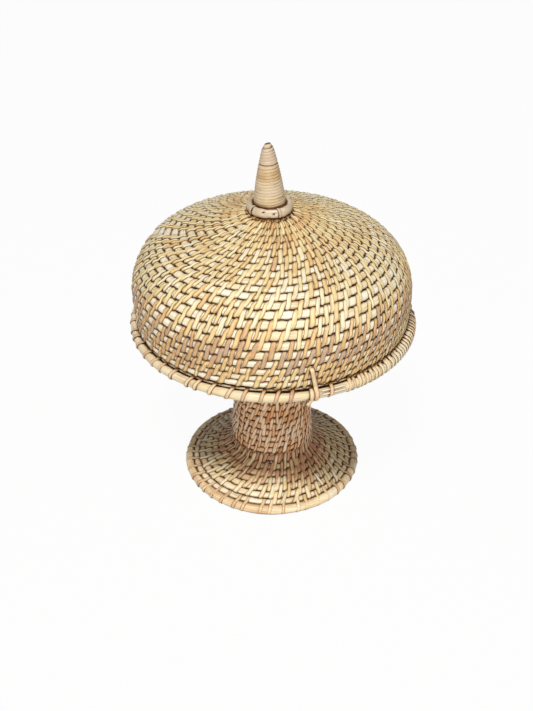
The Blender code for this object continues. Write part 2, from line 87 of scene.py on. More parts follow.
def make_camera():
    lens = bpy.data.cameras.new("camera")
    lens.sensor_fit, lens.sensor_width = "AUTO", SENSOR
    lens.lens = FOCAL_PIXELS * SENSOR / PICTURE_LONG_SIDE
    lens.shift_x = -AXIS_PIXELS_RIGHT / PICTURE_LONG_SIDE
    camera = looking("camera", lens, VIEW_AZIMUTH, VIEW_ELEVATION, VIEW_DISTANCE)
    bpy.context.scene.camera = camera
    print("camera at", [round(v, 3) for v in camera.location], "lens, mm", round(lens.lens, 2))


make_camera()

# %% [markdown]
# A white room: one strong soft lamp high in front and a little to the left, a weaker low one a little
# to the right, and a pale sky. The lamps are set so that a colour looks about as it is written. The
# camera sees the sky white, however little light it gives.

# %% Light
SKY_STRENGTH, SKY_SEEN = 0.11, 1.0
LAMP_DISTANCE = 3.0
LAMPS = (
    ("key lamp", math.radians(-117), math.radians(61), 0.45, 69.0, (1.0, 0.985, 0.965)),
    ("low lamp", math.radians(-98), math.radians(15), 0.60, 31.0, (1.0, 0.98, 0.96)),
)


def make_lamps():
    for name, azimuth, elevation, size, watts, colour in LAMPS:
        light = bpy.data.lights.new(name, "AREA")
        light.shape, light.size, light.energy, light.color = "DISK", size, watts, colour
        looking(name, light, azimuth, elevation, LAMP_DISTANCE)


def seen_directly(tree):
    """1 for the camera's rays and for mirrored ones, 0 for all others."""
    rays = tree.nodes.new("ShaderNodeLightPath")
    seen = tree.nodes.new("ShaderNodeMath")
    seen.operation = "MAXIMUM"
    tree.links.new(rays.outputs["Is Camera Ray"], seen.inputs[0])
    tree.links.new(rays.outputs["Is Glossy Ray"], seen.inputs[1])
    return seen.outputs[0]


def make_sky():
    world = bpy.data.worlds.new("pale room")
    bpy.context.scene.world = world
    world.use_nodes = True
    tree = world.node_tree
    background = tree.nodes["Background"]
    strength = tree.nodes.new("ShaderNodeMapRange")
    strength.inputs["To Min"].default_value = SKY_STRENGTH
    strength.inputs["To Max"].default_value = SKY_SEEN
    tree.links.new(seen_directly(tree), strength.inputs["Value"])
    tree.links.new(strength.outputs[0], background.inputs["Strength"])
    background.inputs["Color"].default_value = (1, 1, 1, 1)


make_lamps()
make_sky()

# %% [markdown]
# Materials are built from small expressions. One class wraps an output socket, so that sums and
# products of shader values are written as Python and become Math nodes. A second class holds one
# finish: its tree, its Principled shader, and one method that makes any other node.

# %% Shader arithmetic


class Wire:
    """One output of a shader tree. Arithmetic on it adds Math nodes."""

    def __init__(self, finish, socket):
        self.finish, self.socket = finish, socket

    def math(self, operation, *values):
        return self.finish.node("Math", {"operation": operation}, dict(enumerate(values)))

    def __add__(self, other):
        return self.math("ADD", self, other)

    def __sub__(self, other):
        return self.math("SUBTRACT", self, other)

    def __rsub__(self, other):
        return self.math("SUBTRACT", other, self)

    def __mul__(self, other):
        return self.math("MULTIPLY", self, other)

    __radd__ = __add__
    __rmul__ = __mul__

    def within(self, low, high):
        """0 below low, 1 above high, smooth between."""
        settings = {"interpolation_type": "SMOOTHSTEP", "clamp": True}
        values = {"Value": self, "From Min": low, "From Max": high}
        return self.finish.node("MapRange", settings, values)


class Finish:
    """A material with its node tree and its shader."""

    def __init__(self, name):
        self.material = bpy.data.materials.new(name)
        self.material.use_nodes = True
        self.tree = self.material.node_tree
        self.shader = self.tree.nodes["Principled BSDF"]

    def node(self, kind, settings=None, values=None, output=0):
        made = self.tree.nodes.new("ShaderNode" + kind)
        for key, setting in (settings or {}).items():
            if key == "stops":
                self.set_stops(made.color_ramp, setting)
            else:
                setattr(made, key, setting)
        for key, value in (values or {}).items():
            self.put(made.inputs[key], value)
        return Wire(self, made.outputs[output])

    def set_stops(self, ramp, stops):
        while len(ramp.elements) < len(stops):
            ramp.elements.new(1)
        for element, (place, colour) in zip(ramp.elements, stops):
            element.position, element.color = place, (*colour, 1)

    def put(self, socket, value):
        if isinstance(value, Wire):
            self.tree.links.new(value.socket, socket)
        elif socket.type == "RGBA":
            socket.default_value = (*value[:3], 1)
        else:
            socket.default_value = value

    def set(self, **values):
        for key, value in values.items():
            self.put(self.shader.inputs[key.replace("_", " ")], value)

    def attribute(self, name):
        return self.node("Attribute", {"attribute_name": name}, output="Fac")

    def along(self):
        """The piece's own lengths: x runs along the cane or strand, y round it."""
        return self.node("UVMap", {"uv_map": "length"})

    def noise(self, place, stretch, detail, roughness):
        scaled = self.node("VectorMath", {"operation": "MULTIPLY"}, {0: place, 1: stretch})
        values = {"Vector": scaled, "Scale": 1.0, "Detail": detail, "Roughness": roughness}
        return self.node("TexNoise", {}, values)

    def mix(self, share, first, second, blend="MIX"):
        settings = {"data_type": "RGBA", "blend_type": blend, "clamp_factor": True}
        return self.node("Mix", settings, {0: share, 6: first, 7: second}, output=2)

    def bump(self, height, strength, distance):
        values = {"Height": height, "Strength": strength, "Distance": distance}
        self.set(Normal=self.node("Bump", {}, values))


def srgb(red, green, blue):
    """A colour written as on screen, 0 to 255, as the linear values that shaders take."""
    shares = [value / 255 for value in (red, green, blue)]
    return tuple(s / 12.92 if s <= 0.04045 else ((s + 0.055) / 1.055) ** 2.4 for s in shares)


# %% [markdown]
# The floor is a stage: it isn't part of the basket. Its diffuse side catches the shadow and throws a
# little light up, while the share that the camera sees as plain white keeps the background clean.

# %% Floor
FLOOR_SIZE = 60.0
FLOOR_WHITE_SHARE = 0.96
FLOOR_COLOUR, FLOOR_ROUGHNESS = srgb(214, 214, 212), 0.9


def mesh_from(bm, name):
    mesh = bpy.data.meshes.new(name)
    bm.to_mesh(mesh)
    bm.free()
    return mesh


def make_floor():
    bm = bmesh.new()
    bmesh.ops.create_grid(bm, x_segments=1, y_segments=1, size=FLOOR_SIZE / 2)
    floor = placed("floor", mesh_from(bm, "floor"))
    finish = Finish("white floor")
    finish.set(Base_Color=FLOOR_COLOUR, Roughness=FLOOR_ROUGHNESS)
    share = Wire(finish, seen_directly(finish.tree)) * FLOOR_WHITE_SHARE
    plain = finish.node("Emission", {}, {"Color": (1, 1, 1), "Strength": 1.0})
    both = finish.node("MixShader", {}, {0: share, 1: Wire(finish, finish.shader.outputs[0]), 2: plain})
    finish.put(finish.tree.nodes["Material Output"].inputs["Surface"], both)
    floor.data.materials.append(finish.material)


make_floor()

# %% [markdown]
# Rattan has two faces. The peel, split from the outside of the cane, is glossy, straw to orange, with
# fine lines along it; it makes the sewing strands. The cane's core is paler and duller, and it makes
# the coils. Both finishes read two numbers from the mesh: "tone" picks a colour from the maker's
# bundle, and "hollow" says how deep a point lies in a groove, where the colour is laid towards a dark
# brown as painted shade. A second painted shade darkens and browns the colour wherever little open sky
# is found within a few millimetres.

# %% Rattan finishes


def tones_of(*rows):
    """A bundle's colours: each row is a place from 0 to 1 and a colour as written on screen."""
    return tuple((place, srgb(*colour)) for place, *colour in rows)


STRAND_TONES = tones_of(
    (0.00, 250, 240, 212), (0.20, 248, 231, 180), (0.42, 241, 215, 156),
    (0.62, 233, 194, 134), (0.82, 216, 168, 112), (1.00, 198, 172, 150),
)
CANE_TONES = tones_of(
    (0.00, 252, 246, 228), (0.30, 248, 236, 204), (0.60, 238, 216, 170),
    (0.85, 228, 190, 130), (1.00, 208, 182, 156),
)
STEM_TONES = tones_of(
    (0.00, 253, 238, 220), (0.30, 246, 218, 190), (0.55, 238, 196, 152),
    (0.80, 224, 164, 108), (1.00, 184, 130, 90),
)
GROOVE_SHADE_BROWN, SPOT_BROWN, PLAIN = srgb(50, 25, 8), srgb(150, 112, 70), (1.0, 1.0, 1.0)
CREVICE_REACH, CREVICE_SHADE_TINT = 0.0042, (0.19, 0.092, 0.026)
HOLLOW_FROM, HOLLOW_TO = 0.30, 0.85
# Each noise is how often it changes in a metre along, across and deep, its detail and its roughness.
FIBRES = ((45, 2600, 1), 2.0, 0.6)
STREAKS = ((28, 900, 1), 3.0, 0.55)
PATCHES = ((95, 95, 95), 3.0, 0.6)
SPOTS = ((420, 640, 1), 3.0, 0.6)
DARK_LINES = ((30, 1300, 1), 2.0, 0.5)
PATCH_DRIFT, STREAK_DRIFT = 0.70, 0.95
FIBRE_SHADE, LINE_SHADE, SPOT_SHADE = 0.60, 0.55, 0.30
BUMP_STRENGTH, BUMP_DEPTH = 0.35, 0.0004


def rattan(name, tones, tint, grain, rough, groove=GROOVE_SHADE_BROWN, shade_from=0.52):
    """A rattan finish: its tones, a tint over them, how strong the fibres show, and its roughness."""
    finish = Finish(name)
    along = finish.along()
    tone = finish.attribute("tone")
    hollow = finish.attribute("hollow").within(HOLLOW_FROM, HOLLOW_TO)
    fibres = finish.noise(along, *FIBRES)
    streaks = finish.noise(along, *STREAKS)
    patches = finish.noise(finish.node("TexCoord", {}, {}, "Object"), *PATCHES)
    spots = finish.noise(along, *SPOTS).within(0.66, 0.74)
    dark_lines = 1 - finish.noise(along, *DARK_LINES).within(0.30, 0.42)
    drift = tone + (patches - 0.5) * PATCH_DRIFT + (streaks - 0.5) * STREAK_DRIFT
    colour = finish.node("ValToRGB", {"stops": tones}, {0: drift})
    colour = finish.mix((fibres - 0.42) * grain, colour, tuple(FIBRE_SHADE * c for c in tones[3][1]))
    colour = finish.mix(dark_lines * LINE_SHADE, colour, SPOT_BROWN)
    colour = finish.mix(spots * SPOT_SHADE, colour, SPOT_BROWN)
    # Painted shade: where an ambient occlusion test finds little open sky close by, in grooves and
    # beside strands, the colour is multiplied darker and browner.
    open_sky = finish.node("AmbientOcclusion", {"samples": 8}, {"Distance": CREVICE_REACH}, "AO")
    crevice_shade = 1 - open_sky.within(shade_from, 1.0)
    colour = finish.mix(crevice_shade, colour, finish.mix(1.0, colour, CREVICE_SHADE_TINT, "MULTIPLY"))
    # Painted shade in the grooves: the deeper a point's hollow, the nearer its colour to the groove
    # brown.
    colour = finish.mix(hollow, colour, groove)
    colour = finish.mix(1.0, colour, tint, "MULTIPLY")
    finish.set(Base_Color=colour, Roughness=(1 - streaks) * 0.22 + rough, Specular_IOR_Level=0.35)
    finish.bump(fibres * 0.6 + streaks * 0.4, BUMP_STRENGTH, BUMP_DEPTH)
    return finish.material


STRAND = rattan("sewing strand", STRAND_TONES, PLAIN, 0.95, 0.30, shade_from=0.60)
CANE = rattan("coiled cane", CANE_TONES, PLAIN, 0.80, 0.38, shade_from=0.60)
STEM_STRAND = rattan("stem strand", STEM_TONES, srgb(255, 244, 228), 0.70, 0.28, shade_from=0.60)
STEM_CANE = rattan("stem cane", STEM_TONES, srgb(255, 238, 222), 0.60, 0.34, shade_from=0.60)
print("rattan finishes", [m.name for m in (STRAND, CANE, STEM_STRAND, STEM_CANE)])

# %% [markdown]
# Canes and strands are long, so each is one long skin. It starts as a flat bmesh grid with its own
# UV map; the grid's points are then moved onto the path, its long edges are welded, and its two ends
# are closed. Rolling a grid keeps the map in true lengths, so the grain runs along every bend.

# %% Rolled skins
WELD = 0.000002
CANE_CREASE, STRAND_CREASE = 75, 50


def unit(vectors):
    return vectors / np.maximum(np.linalg.norm(vectors, axis=-1, keepdims=True), 1e-12)


def rolled(name, places, tone, hollow, crease, closed=False):
    """A skin over places[step, side], whose last side meets its first. A closed one is a ring."""
    if closed:
        places[-1] = places[0]
    steps, sides = places.shape[0] - 1, places.shape[1]
    bm = bmesh.new()
    bm.loops.layers.uv.new("length")
    bmesh.ops.create_grid(bm, x_segments=steps, y_segments=sides, size=0.5, calc_uvs=True)
    mesh = mesh_from(bm, name)
    flat = np.zeros(len(mesh.vertices) * 3)
    mesh.vertices.foreach_get("co", flat)
    flat = flat.reshape(-1, 3)
    step = np.rint((flat[:, 0] + 0.5) * steps).astype(int)
    side = np.rint((flat[:, 1] + 0.5) * sides).astype(int) % sides
    mesh.vertices.foreach_set("co", places[step, side].ravel())
    for label, values in (("tone", tone), ("hollow", hollow)):
        grid = np.broadcast_to(np.asarray(values, float), (steps + 1, sides))
        layer = mesh.attributes.new(label, "FLOAT", "POINT")
        layer.data.foreach_set("value", grid[step, side].astype(np.float32))
    stretch_map(mesh, places)
    close_skin(mesh, closed)
    mesh.shade_smooth()
    mesh.set_sharp_from_angle(angle=math.radians(crease))
    return placed(name, mesh)


def stretch_map(mesh, places):
    """Turn the grid's 0 to 1 map into metres along and metres round."""
    middle = places.mean(axis=1)
    run = np.concatenate([[0], np.cumsum(np.linalg.norm(np.diff(middle, axis=0), axis=1))])
    girth = np.linalg.norm(places - np.roll(places, 1, axis=1), axis=2).sum(axis=1).mean()
    layer = mesh.uv_layers["length"].data
    flat = np.zeros(len(layer) * 2)
    layer.foreach_get("uv", flat)
    flat = flat.reshape(-1, 2)
    flat[:, 0] = np.interp(flat[:, 0] * (len(run) - 1), np.arange(len(run)), run)
    flat[:, 1] *= girth
    layer.foreach_set("uv", flat.ravel())


def close_skin(mesh, closed):
    """Weld the skin's long seam, close its ends unless it is a ring, and turn its faces outwards."""
    bm = bmesh.new()
    bm.from_mesh(mesh)
    bmesh.ops.remove_doubles(bm, verts=bm.verts, dist=WELD)
    if not closed:
        bmesh.ops.holes_fill(bm, edges=[e for e in bm.edges if e.is_boundary], sides=0)
    bmesh.ops.recalc_face_normals(bm, faces=bm.faces)
    bm.to_mesh(mesh)
    bm.free()


def cane_skin(name, centres, ways, halves, sides, tone, hollow_depth=0.0, closed=False):
    """A round or oval cane: ways are the section's two unit directions, halves its two sizes."""
    angle = np.arange(sides) * TURN / sides
    places = centres[:, None]
    for way, half, share in zip(ways, halves, (np.cos(angle), np.sin(angle))):
        places = places + way[:, None] * (half[:, None] * share)[..., None]
    # Painted shade on the section's upper and lower sides, which lie in the grooves.
    hollow = np.reshape(hollow_depth, (-1, 1)) * smooth(np.abs(np.cos(angle)), 0.60, 1.0)
    return rolled(name, places, tone[:, None], hollow, CANE_CREASE, closed)


def smooth(value, low, high):
    share = np.clip((np.asarray(value, float) - low) / (high - low), 0, 1)
    return share * share * (3 - 2 * share)


# %% [markdown]
# A strand is a flat strip with a slightly domed back. Its section has five corners: two at the
# bottom, two at the shoulders and one on the crown. The highlight along its middle is painted, by a
# paler tone on the crown, and so is the dark line down each side: painted shade, a darker tone on the
# shoulders and the groove brown at the bottom corners.

# %% Strand skins
STRAND_SECTION = ((-0.94, -0.30), (0.94, -0.30), (1.0, 0.30), (0.0, 1.0), (-1.0, 0.30))
STRAND_EDGE_SHADE = (0.95, 0.95, 0.62, 0.0, 0.62)
STRAND_HIGHLIGHT_SHIFTS = (0.20, 0.20, 0.16, -0.14, 0.16)


def strand_skin(name, path, outward, widths, thicknesses, tone, hollow=0.0, edge=1.0):
    """A flat strand along a path, lying with its back towards outward."""
    ahead = unit(np.gradient(path, axis=0))
    side = unit(np.cross(ahead, outward))
    back = np.cross(side, ahead)
    corner = np.array(STRAND_SECTION)
    widths, thicknesses, tone, hollow = (
        np.broadcast_to(values, len(path))[:, None] for values in (widths, thicknesses, tone, hollow)
    )
    places = (
        path[:, None]
        + side[:, None] * (widths / 2 * corner[:, 0])[..., None]
        + back[:, None] * (thicknesses * corner[:, 1])[..., None]
    )
    # Painted shade down both sides, as strong as edge, and a painted highlight on the crown, from a
    # paler tone there and darker ones at the sides.
    painted_edge_shade = np.maximum(hollow, edge * np.array(STRAND_EDGE_SHADE))
    highlighted_tone = np.clip(tone + np.array(STRAND_HIGHLIGHT_SHIFTS), 0, 1)
    return rolled(name, places, highlighted_tone, painted_edge_shade, STRAND_CREASE)


# %% [markdown]
# Every wall of the basket is turned: one line, swung round the axis. The line is measured along its
# length, so a coil's height on the wall is simply a distance along it, and the line's normal says
# which way is out. They are the frame's lines with two small changes, given below.

# %% Wall lines
LINE_STEPS = 160


class Line:
    """A wall's outer line, from points of radius and height."""

    def __init__(self, points):
        self.points = np.array(points, float)
        self.ahead = unit(np.gradient(self.points, axis=0))
        self.outward = np.stack([self.ahead[:, 1], -self.ahead[:, 0]], axis=1)
        steps = np.linalg.norm(np.diff(self.points, axis=0), axis=1)
        self.marks = np.concatenate([[0], np.cumsum(steps)])
        self.length = float(self.marks[-1])

    def read(self, table, distance):
        return np.stack([np.interp(distance, self.marks, table[:, k]) for k in (0, 1)], axis=-1)

    def at(self, distance, lift=0.0):
        """Radius and height, this far along the line and lifted off it."""
        outward = self.read(self.outward, distance)
        return self.read(self.points, distance) + outward * np.asarray(lift)[..., None]


def straight(start, end):
    share = np.linspace(0, 1, LINE_STEPS)[:, None]
    return np.array(start) * (1 - share) + np.array(end) * share


def arc(centre, radius, start, end):
    angle = np.linspace(start, end, LINE_STEPS)
    return np.stack([centre[0] + radius * np.cos(angle), centre[1] + radius * np.sin(angle)], axis=1)


def joined(*runs):
    return np.concatenate([runs[0]] + [run[1:] for run in runs[1:]])


def spun(flat, azimuth):
    """Points of radius and height, turned to an azimuth, in metres in the frame."""
    radius, height = flat[..., 0], flat[..., 1]
    return np.stack([radius * np.cos(azimuth), radius * np.sin(azimuth), height], axis=-1)


def facing(normal, azimuth):
    """Unit directions at this angle up from the horizontal, turned to an azimuth."""
    return spun(np.stack([np.cos(normal), np.sin(normal)], axis=-1), azimuth)


def middle_height(node):
    low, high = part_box(node)
    return (low.z + high.z) / 2


# %% [markdown]
# The sizes are those of the frame's walls, in metres. What the frame can tell, such as the rim's
# height, is read from its boxes. The lid's mouth hangs 1.1 mm lower than the frame's, as in the photo,
# and the tray's edge reaches 0.4 mm further out.

# %% Sizes of the frame's walls
FOOT_EDGE_RADIUS, FOOT_HOOP_RADIUS, FOOT_WALL = 0.0925, 0.0043, 0.0070
FOOT_SLOPE, FOOT_FILLET, FOOT_PITCH = math.radians(27), 0.0120, 0.0074
STEM_FOOT_RADIUS, STEM_WAIST_RADIUS, STEM_TOP_RADIUS = 0.0423, 0.0382, 0.0400
STEM_HEIGHT, STEM_WAIST_SHARE, STEM_WALL, STEM_PITCH = 0.1194, 0.62, 0.0070, 0.0074
TRAY_FLOOR_RADIUS, TRAY_LEDGE, TRAY_DEPTH = 0.0460, 0.0110, 0.0182
TRAY_WALL, TRAY_PITCH = 0.0073, 0.0086
LID_RADIUS, LID_MOUTH_RADIUS, LID_WALL_HEIGHT = 0.1348, 0.1328, 0.0294
LID_SHOULDER, LID_SLOPE, LID_TOP_RADIUS = 0.0570, math.radians(18.5), 0.0180
LID_WALL, LID_PITCH, PEG_HOLE = 0.0074, 0.0086, 0.0064
RIM_RADIUS, RIM_POLE_RADIUS, RIM_DROP = 0.1350, 0.0043, 0.0028
TRAY_RADIUS, REST_ROD_RADIUS = 0.1285, 0.0022
TIE_AT = math.radians(-90)
GAP, MOUTH_DROP, TRAY_PRESS = 0.0003, 0.0011, 0.0004

FOOT_HOOP_MIDDLE = FOOT_EDGE_RADIUS - FOOT_HOOP_RADIUS
FOOT_HOOP_HEIGHT = middle_height("foot_hoop")
STEM_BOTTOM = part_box("stem_wall")[0].z
RIM_HEIGHT = middle_height("rim_hoop")
RIM_TOP = RIM_HEIGHT + RIM_DROP
TRAY_FLOOR_TOP = RIM_TOP - TRAY_DEPTH
LID_MOUTH = RIM_TOP + 2 * REST_ROD_RADIUS + 2 * GAP


def foot_line():
    lift = FOOT_HOOP_RADIUS + GAP
    start = np.array([
        FOOT_HOOP_MIDDLE - lift * math.cos(FOOT_SLOPE) + FOOT_WALL / 2 * math.sin(FOOT_SLOPE),
        FOOT_HOOP_HEIGHT + lift * math.sin(FOOT_SLOPE) + FOOT_WALL / 2 * math.cos(FOOT_SLOPE),
    ])
    run = (start[0] - STEM_FOOT_RADIUS) / math.cos(FOOT_SLOPE)
    tangent = FOOT_FILLET * math.tan((math.pi / 2 - FOOT_SLOPE) / 2)
    bend = start + (run - tangent) * np.array([-math.cos(FOOT_SLOPE), math.sin(FOOT_SLOPE)])
    centre = (STEM_FOOT_RADIUS + FOOT_FILLET, start[1] + run * math.sin(FOOT_SLOPE) + tangent)
    fillet = arc(centre, FOOT_FILLET, math.pi * 1.5 - FOOT_SLOPE, math.pi)
    return Line(joined(straight(start, bend), fillet))


def stem_line():
    share = np.linspace(0, 1, LINE_STEPS)
    below = share < STEM_WAIST_SHARE
    end_radius = np.where(below, STEM_FOOT_RADIUS, STEM_TOP_RADIUS)
    reach = (STEM_WAIST_SHARE - share) / np.where(below, STEM_WAIST_SHARE, STEM_WAIST_SHARE - 1)
    swell = (1 - np.cos(math.pi * reach)) / 2
    radius = STEM_WAIST_RADIUS + (end_radius - STEM_WAIST_RADIUS) * swell
    return Line(np.stack([radius, STEM_BOTTOM + STEM_HEIGHT * share], axis=1))


def tray_line():
    ledge_inner = TRAY_RADIUS - TRAY_LEDGE
    share = np.linspace(0, 1, LINE_STEPS)
    radius = ledge_inner + (TRAY_FLOOR_RADIUS - ledge_inner) * share
    height = TRAY_FLOOR_TOP + TRAY_DEPTH * (1 + np.cos(math.pi * share)) / 2
    ledge = straight((TRAY_RADIUS + TRAY_PRESS, RIM_TOP), (ledge_inner, RIM_TOP))
    floor = straight((TRAY_FLOOR_RADIUS, TRAY_FLOOR_TOP), (0, TRAY_FLOOR_TOP))
    return Line(joined(ledge, np.stack([radius, height], axis=1), floor))


def lid_line():
    shoulder = LID_MOUTH + LID_WALL_HEIGHT
    share = np.linspace(0, 1, LINE_STEPS)
    radius = LID_RADIUS - (LID_RADIUS - LID_MOUTH_RADIUS) * (1 - share) ** 2
    height = LID_MOUTH - MOUTH_DROP + (LID_WALL_HEIGHT + MOUTH_DROP) * share
    wall = np.stack([radius, height], axis=1)
    bend = arc((LID_RADIUS - LID_SHOULDER, shoulder), LID_SHOULDER, 0, math.pi / 2 - LID_SLOPE)
    start = bend[-1]
    level = PEG_HOLE + LID_TOP_RADIUS * math.sin(LID_SLOPE)
    level_height = start[1] + (start[0] - level) * math.tan(LID_SLOPE)
    centre = (PEG_HOLE, level_height - LID_TOP_RADIUS * math.cos(LID_SLOPE))
    top = arc(centre, LID_TOP_RADIUS, math.pi / 2 - LID_SLOPE, math.pi / 2)
    return Line(joined(wall, bend, straight(start, (level, level_height)), top))


FOOT_LINE, STEM_LINE, TRAY_LINE, LID_LINE = foot_line(), stem_line(), tray_line(), lid_line()
CROWN_TOP = float(LID_LINE.points[-1][1])
for label, line in (("foot", FOOT_LINE), ("stem", STEM_LINE), ("tray", TRAY_LINE), ("lid", LID_LINE)):
    print(label, "line is", round(1000 * line.length, 1), "mm long")

# %% [markdown]
# Hand work leans. Seen from the front the dome's crown sits two millimetres left of the foot, and
# the finial leans a little further. One function bends every piece of the lid alike, so what touches
# still touches.

# %% Lean of the lid
LEFT = np.array([-0.9613, 0.2756, 0.0])
CROWN_DRIFT, CROWN_SINK, SIDE_SINK = 0.0020, 0.0005, 0.012
DRIFT_START, DRIFT_END = 0.225, 0.300
FINIAL_LEAN = 0.030
RIM_NUDGE = 0.0010


def leaned(places):
    height = places[..., 2]
    share = smooth(height, DRIFT_START, DRIFT_END)
    drift = CROWN_DRIFT * share + FINIAL_LEAN * np.maximum(height - CROWN_TOP, 0)
    sink = (CROWN_SINK - SIDE_SINK * (places @ LEFT)) * share
    return places + drift[..., None] * LEFT - sink[..., None] * np.array([0.0, 0.0, 1.0])


def nudged(places):
    """The rim's poles sit a little to the right of the tray."""
    return places - RIM_NUDGE * LEFT


def upright(places):
    return places


# %% [markdown]
# Coiling: one long cane winds up the wall, each turn lying against the turn before. In the wall's own
# measure a turn climbs one row: it runs level round the front and steps up at the back, so that the
# edges look even. Its width and place waver a little along its length, from seeded waves, as a hand
# leaves it, and between two strands it swells out.

# %% Coils
STEP_UP = (0.36, 0.64)
CANE_COLUMNS = 6
CELL_SWELL, CELL_WIDEN, STRAND_PINCH = 0.10, 0.03, 0.10
GROOVE_SHADE, CELL_SHADE = 0.9, 0.62
STRAND_THICKNESS = 0.00115
COIL_GAP = -0.00030
WAVER_RATES, WAVER_SIZES = (2.3, 5.1, 9.7), (0.00022, 0.00018, 0.00010)
LEAST_ROW, LEAST_HALF, LEAST_RADIUS = 0.0003, 0.0001, 0.0002
BOUND_FROM, BOUND_TO = 0.0012, 0.0038


class Coil:
    """The cane of one wall: where each turn lies, and how thick it is."""

    def __init__(self, name, line, pitch, wall, seed, warp=upright, paces=(1.0,)):
        self.name, self.line, self.core, self.warp = name, line, -wall / 2, warp
        self.turns = max(round(line.length / pitch), 2)
        self.pitch = line.length / self.turns
        rows = np.interp(np.arange(self.turns), np.arange(len(paces)), paces)
        seams = np.concatenate([[0, 0], np.cumsum(rows) / rows.sum(), [1]])
        self.seams = seams * line.length
        self.half_thick = wall / 2 - STRAND_THICKNESS
        self.phases = np.random.default_rng(seed).uniform(0, TURN, len(WAVER_RATES))

    def waver(self, turn):
        """A small smooth error of the hand, in metres along the line."""
        waves = zip(WAVER_RATES, WAVER_SIZES, self.phases)
        return sum(size * np.sin(rate * turn + phase) for rate, size, phase in waves)

    def edges(self, turn):
        """The lower and upper edge of the turn that passes here, as distances along the line."""
        rounds = turn / TURN
        whole = np.floor(rounds)
        row = whole + smooth(rounds - whole, *STEP_UP)
        low = np.clip(self.seam(row) + self.waver(turn), 0, self.line.length)
        high = np.clip(self.seam(row + 1) + self.waver(turn + TURN), 0, self.line.length)
        return low, high

    def seam(self, row):
        return np.interp(row, np.arange(-1, self.turns + 2), self.seams)

    def section(self, turn):
        """Middle and half width of the cane here, the width measured in the middle of the wall."""
        low, high = self.edges(turn)
        apart = self.line.at(high, self.core) - self.line.at(low, self.core)
        half = np.linalg.norm(apart, axis=-1) / 2 - COIL_GAP
        return (low + high) / 2, np.maximum(half, LEAST_HALF)

    def frame_at(self, distance, turn):
        """Unit directions along the line and out of the wall, in the frame."""
        tables = (self.line.ahead, self.line.outward)
        return [unit(spun(self.line.read(t, distance), turn + VIEW_AZIMUTH)) for t in tables]

    def place(self, distance, lift, turn):
        flat = self.line.at(distance, lift)
        flat[..., 0] = np.maximum(flat[..., 0], LEAST_RADIUS)
        return self.warp(spun(flat, turn + VIEW_AZIMUTH))


def coil_cane(coil, stitches, sides, tones):
    """The long cane itself, as one skin, swelling between the stitches that cross it."""
    marks = np.concatenate([[-TURN], stitches, [coil.turns * TURN]])
    steps = np.arange(0, (len(marks) - 1) * CANE_COLUMNS + 1) / CANE_COLUMNS
    turn = np.unique(np.interp(steps, np.arange(len(marks)), marks))
    low, high = coil.edges(turn)
    turn = turn[high - low > LEAST_ROW]
    middle, half = coil.section(turn)
    centres = coil.place(middle, coil.core, turn)
    bound = under_strand(coil, turn, stitches, middle)
    half = half * (1 + CELL_WIDEN * (1 - bound) - STRAND_PINCH * bound)
    thick = coil.half_thick * smooth(half, 0, coil.pitch * 0.3) * (1 + CELL_SWELL * (1 - bound))
    # Painted shade: the cane's sides in the grooves between turns are laid towards the groove brown,
    # most where a strand crosses it.
    hollow = GROOVE_SHADE * (CELL_SHADE + (1 - CELL_SHADE) * bound)
    ways, tone = coil.frame_at(middle, turn), tones(turn, middle)
    cane = cane_skin(coil.name + "_cane", centres, ways, (half, thick), sides, tone, hollow)
    length = round(float(np.linalg.norm(np.diff(centres, axis=0), axis=1).sum()), 1)
    print(cane.name, coil.turns, "turns,", length, "m,", len(cane.data.polygons), "faces")
    return cane


def under_strand(coil, turn, stitches, middle):
    """1 where a strand crosses the cane, falling to 0 between two strands."""
    crossings = np.sort(np.concatenate([stitches, stitches + TURN]))
    after = np.clip(np.searchsorted(crossings, turn), 1, len(crossings) - 1)
    gap = np.minimum(np.abs(turn - crossings[after - 1]), np.abs(crossings[after] - turn))
    return 1 - smooth(gap * coil.line.at(middle)[:, 0], BOUND_FROM, BOUND_TO)


# %% [markdown]
# Where do the stitches go? A maker sews row on row, setting each new stitch just beside the one below,
# and adds a stitch where the gap grows too wide. The same rule runs here from a wall's small end to its
# wide end: each stitch leaves a child one row out, moved sideways by its lean and its own width; a
# child is added where two stand too far apart, and one is dropped where they crowd.

# %% Stitch places
LEAN_SHARE = 0.27
SIDE_BY_SIDE = 0.92
EVEN_OUT = 0.25
CROWDED, TOO_WIDE, FEWEST = 0.64, 1.32, 6
WIDTH_SHARE = 0.40
LEAST_ROW_RADIUS = 0.004


class Sewing:
    """How a wall is sewn. spacing has the narrow spacing, what is added to it, and between which
    radii; then come the strand's width and the hand's errors."""

    def __init__(self, spacing, width, seed, first_count, error=0.05, lean_error=0.24):
        self.narrow, self.growth, *self.radii = spacing
        self.full_width = width
        self.random = np.random.default_rng(seed)
        self.first_count, self.error, self.lean_error = first_count, error, lean_error

    def spacing(self, radius):
        return self.narrow + self.growth * float(smooth(radius, *self.radii))

    def width(self, spacing):
        return min(self.full_width, WIDTH_SHARE * spacing)


def row_radius(coil, turn):
    middle, _ = coil.section(np.array(turn))
    return float(max(coil.line.at(middle)[0], LEAST_ROW_RADIUS))


def stitch_turns(coil, sewing):
    """The turn angle of every stitch, from the last turn of the coil out to the first."""
    top = coil.turns * TURN
    row = [top - TURN * k / sewing.first_count for k in range(sewing.first_count)]
    found = list(row)
    while row[0] > 0:
        child = []
        for turn in row:
            radius = row_radius(coil, turn - TURN)
            spacing = sewing.spacing(radius)
            shift = LEAN_SHARE * spacing + SIDE_BY_SIDE * sewing.width(spacing)
            shift += sewing.random.normal(0, sewing.error) * spacing
            child.append(turn - TURN - shift / radius)
        row = settled(coil, sewing, child)
        found += row
    return np.array(sorted(turn for turn in found if -TURN <= turn <= top))


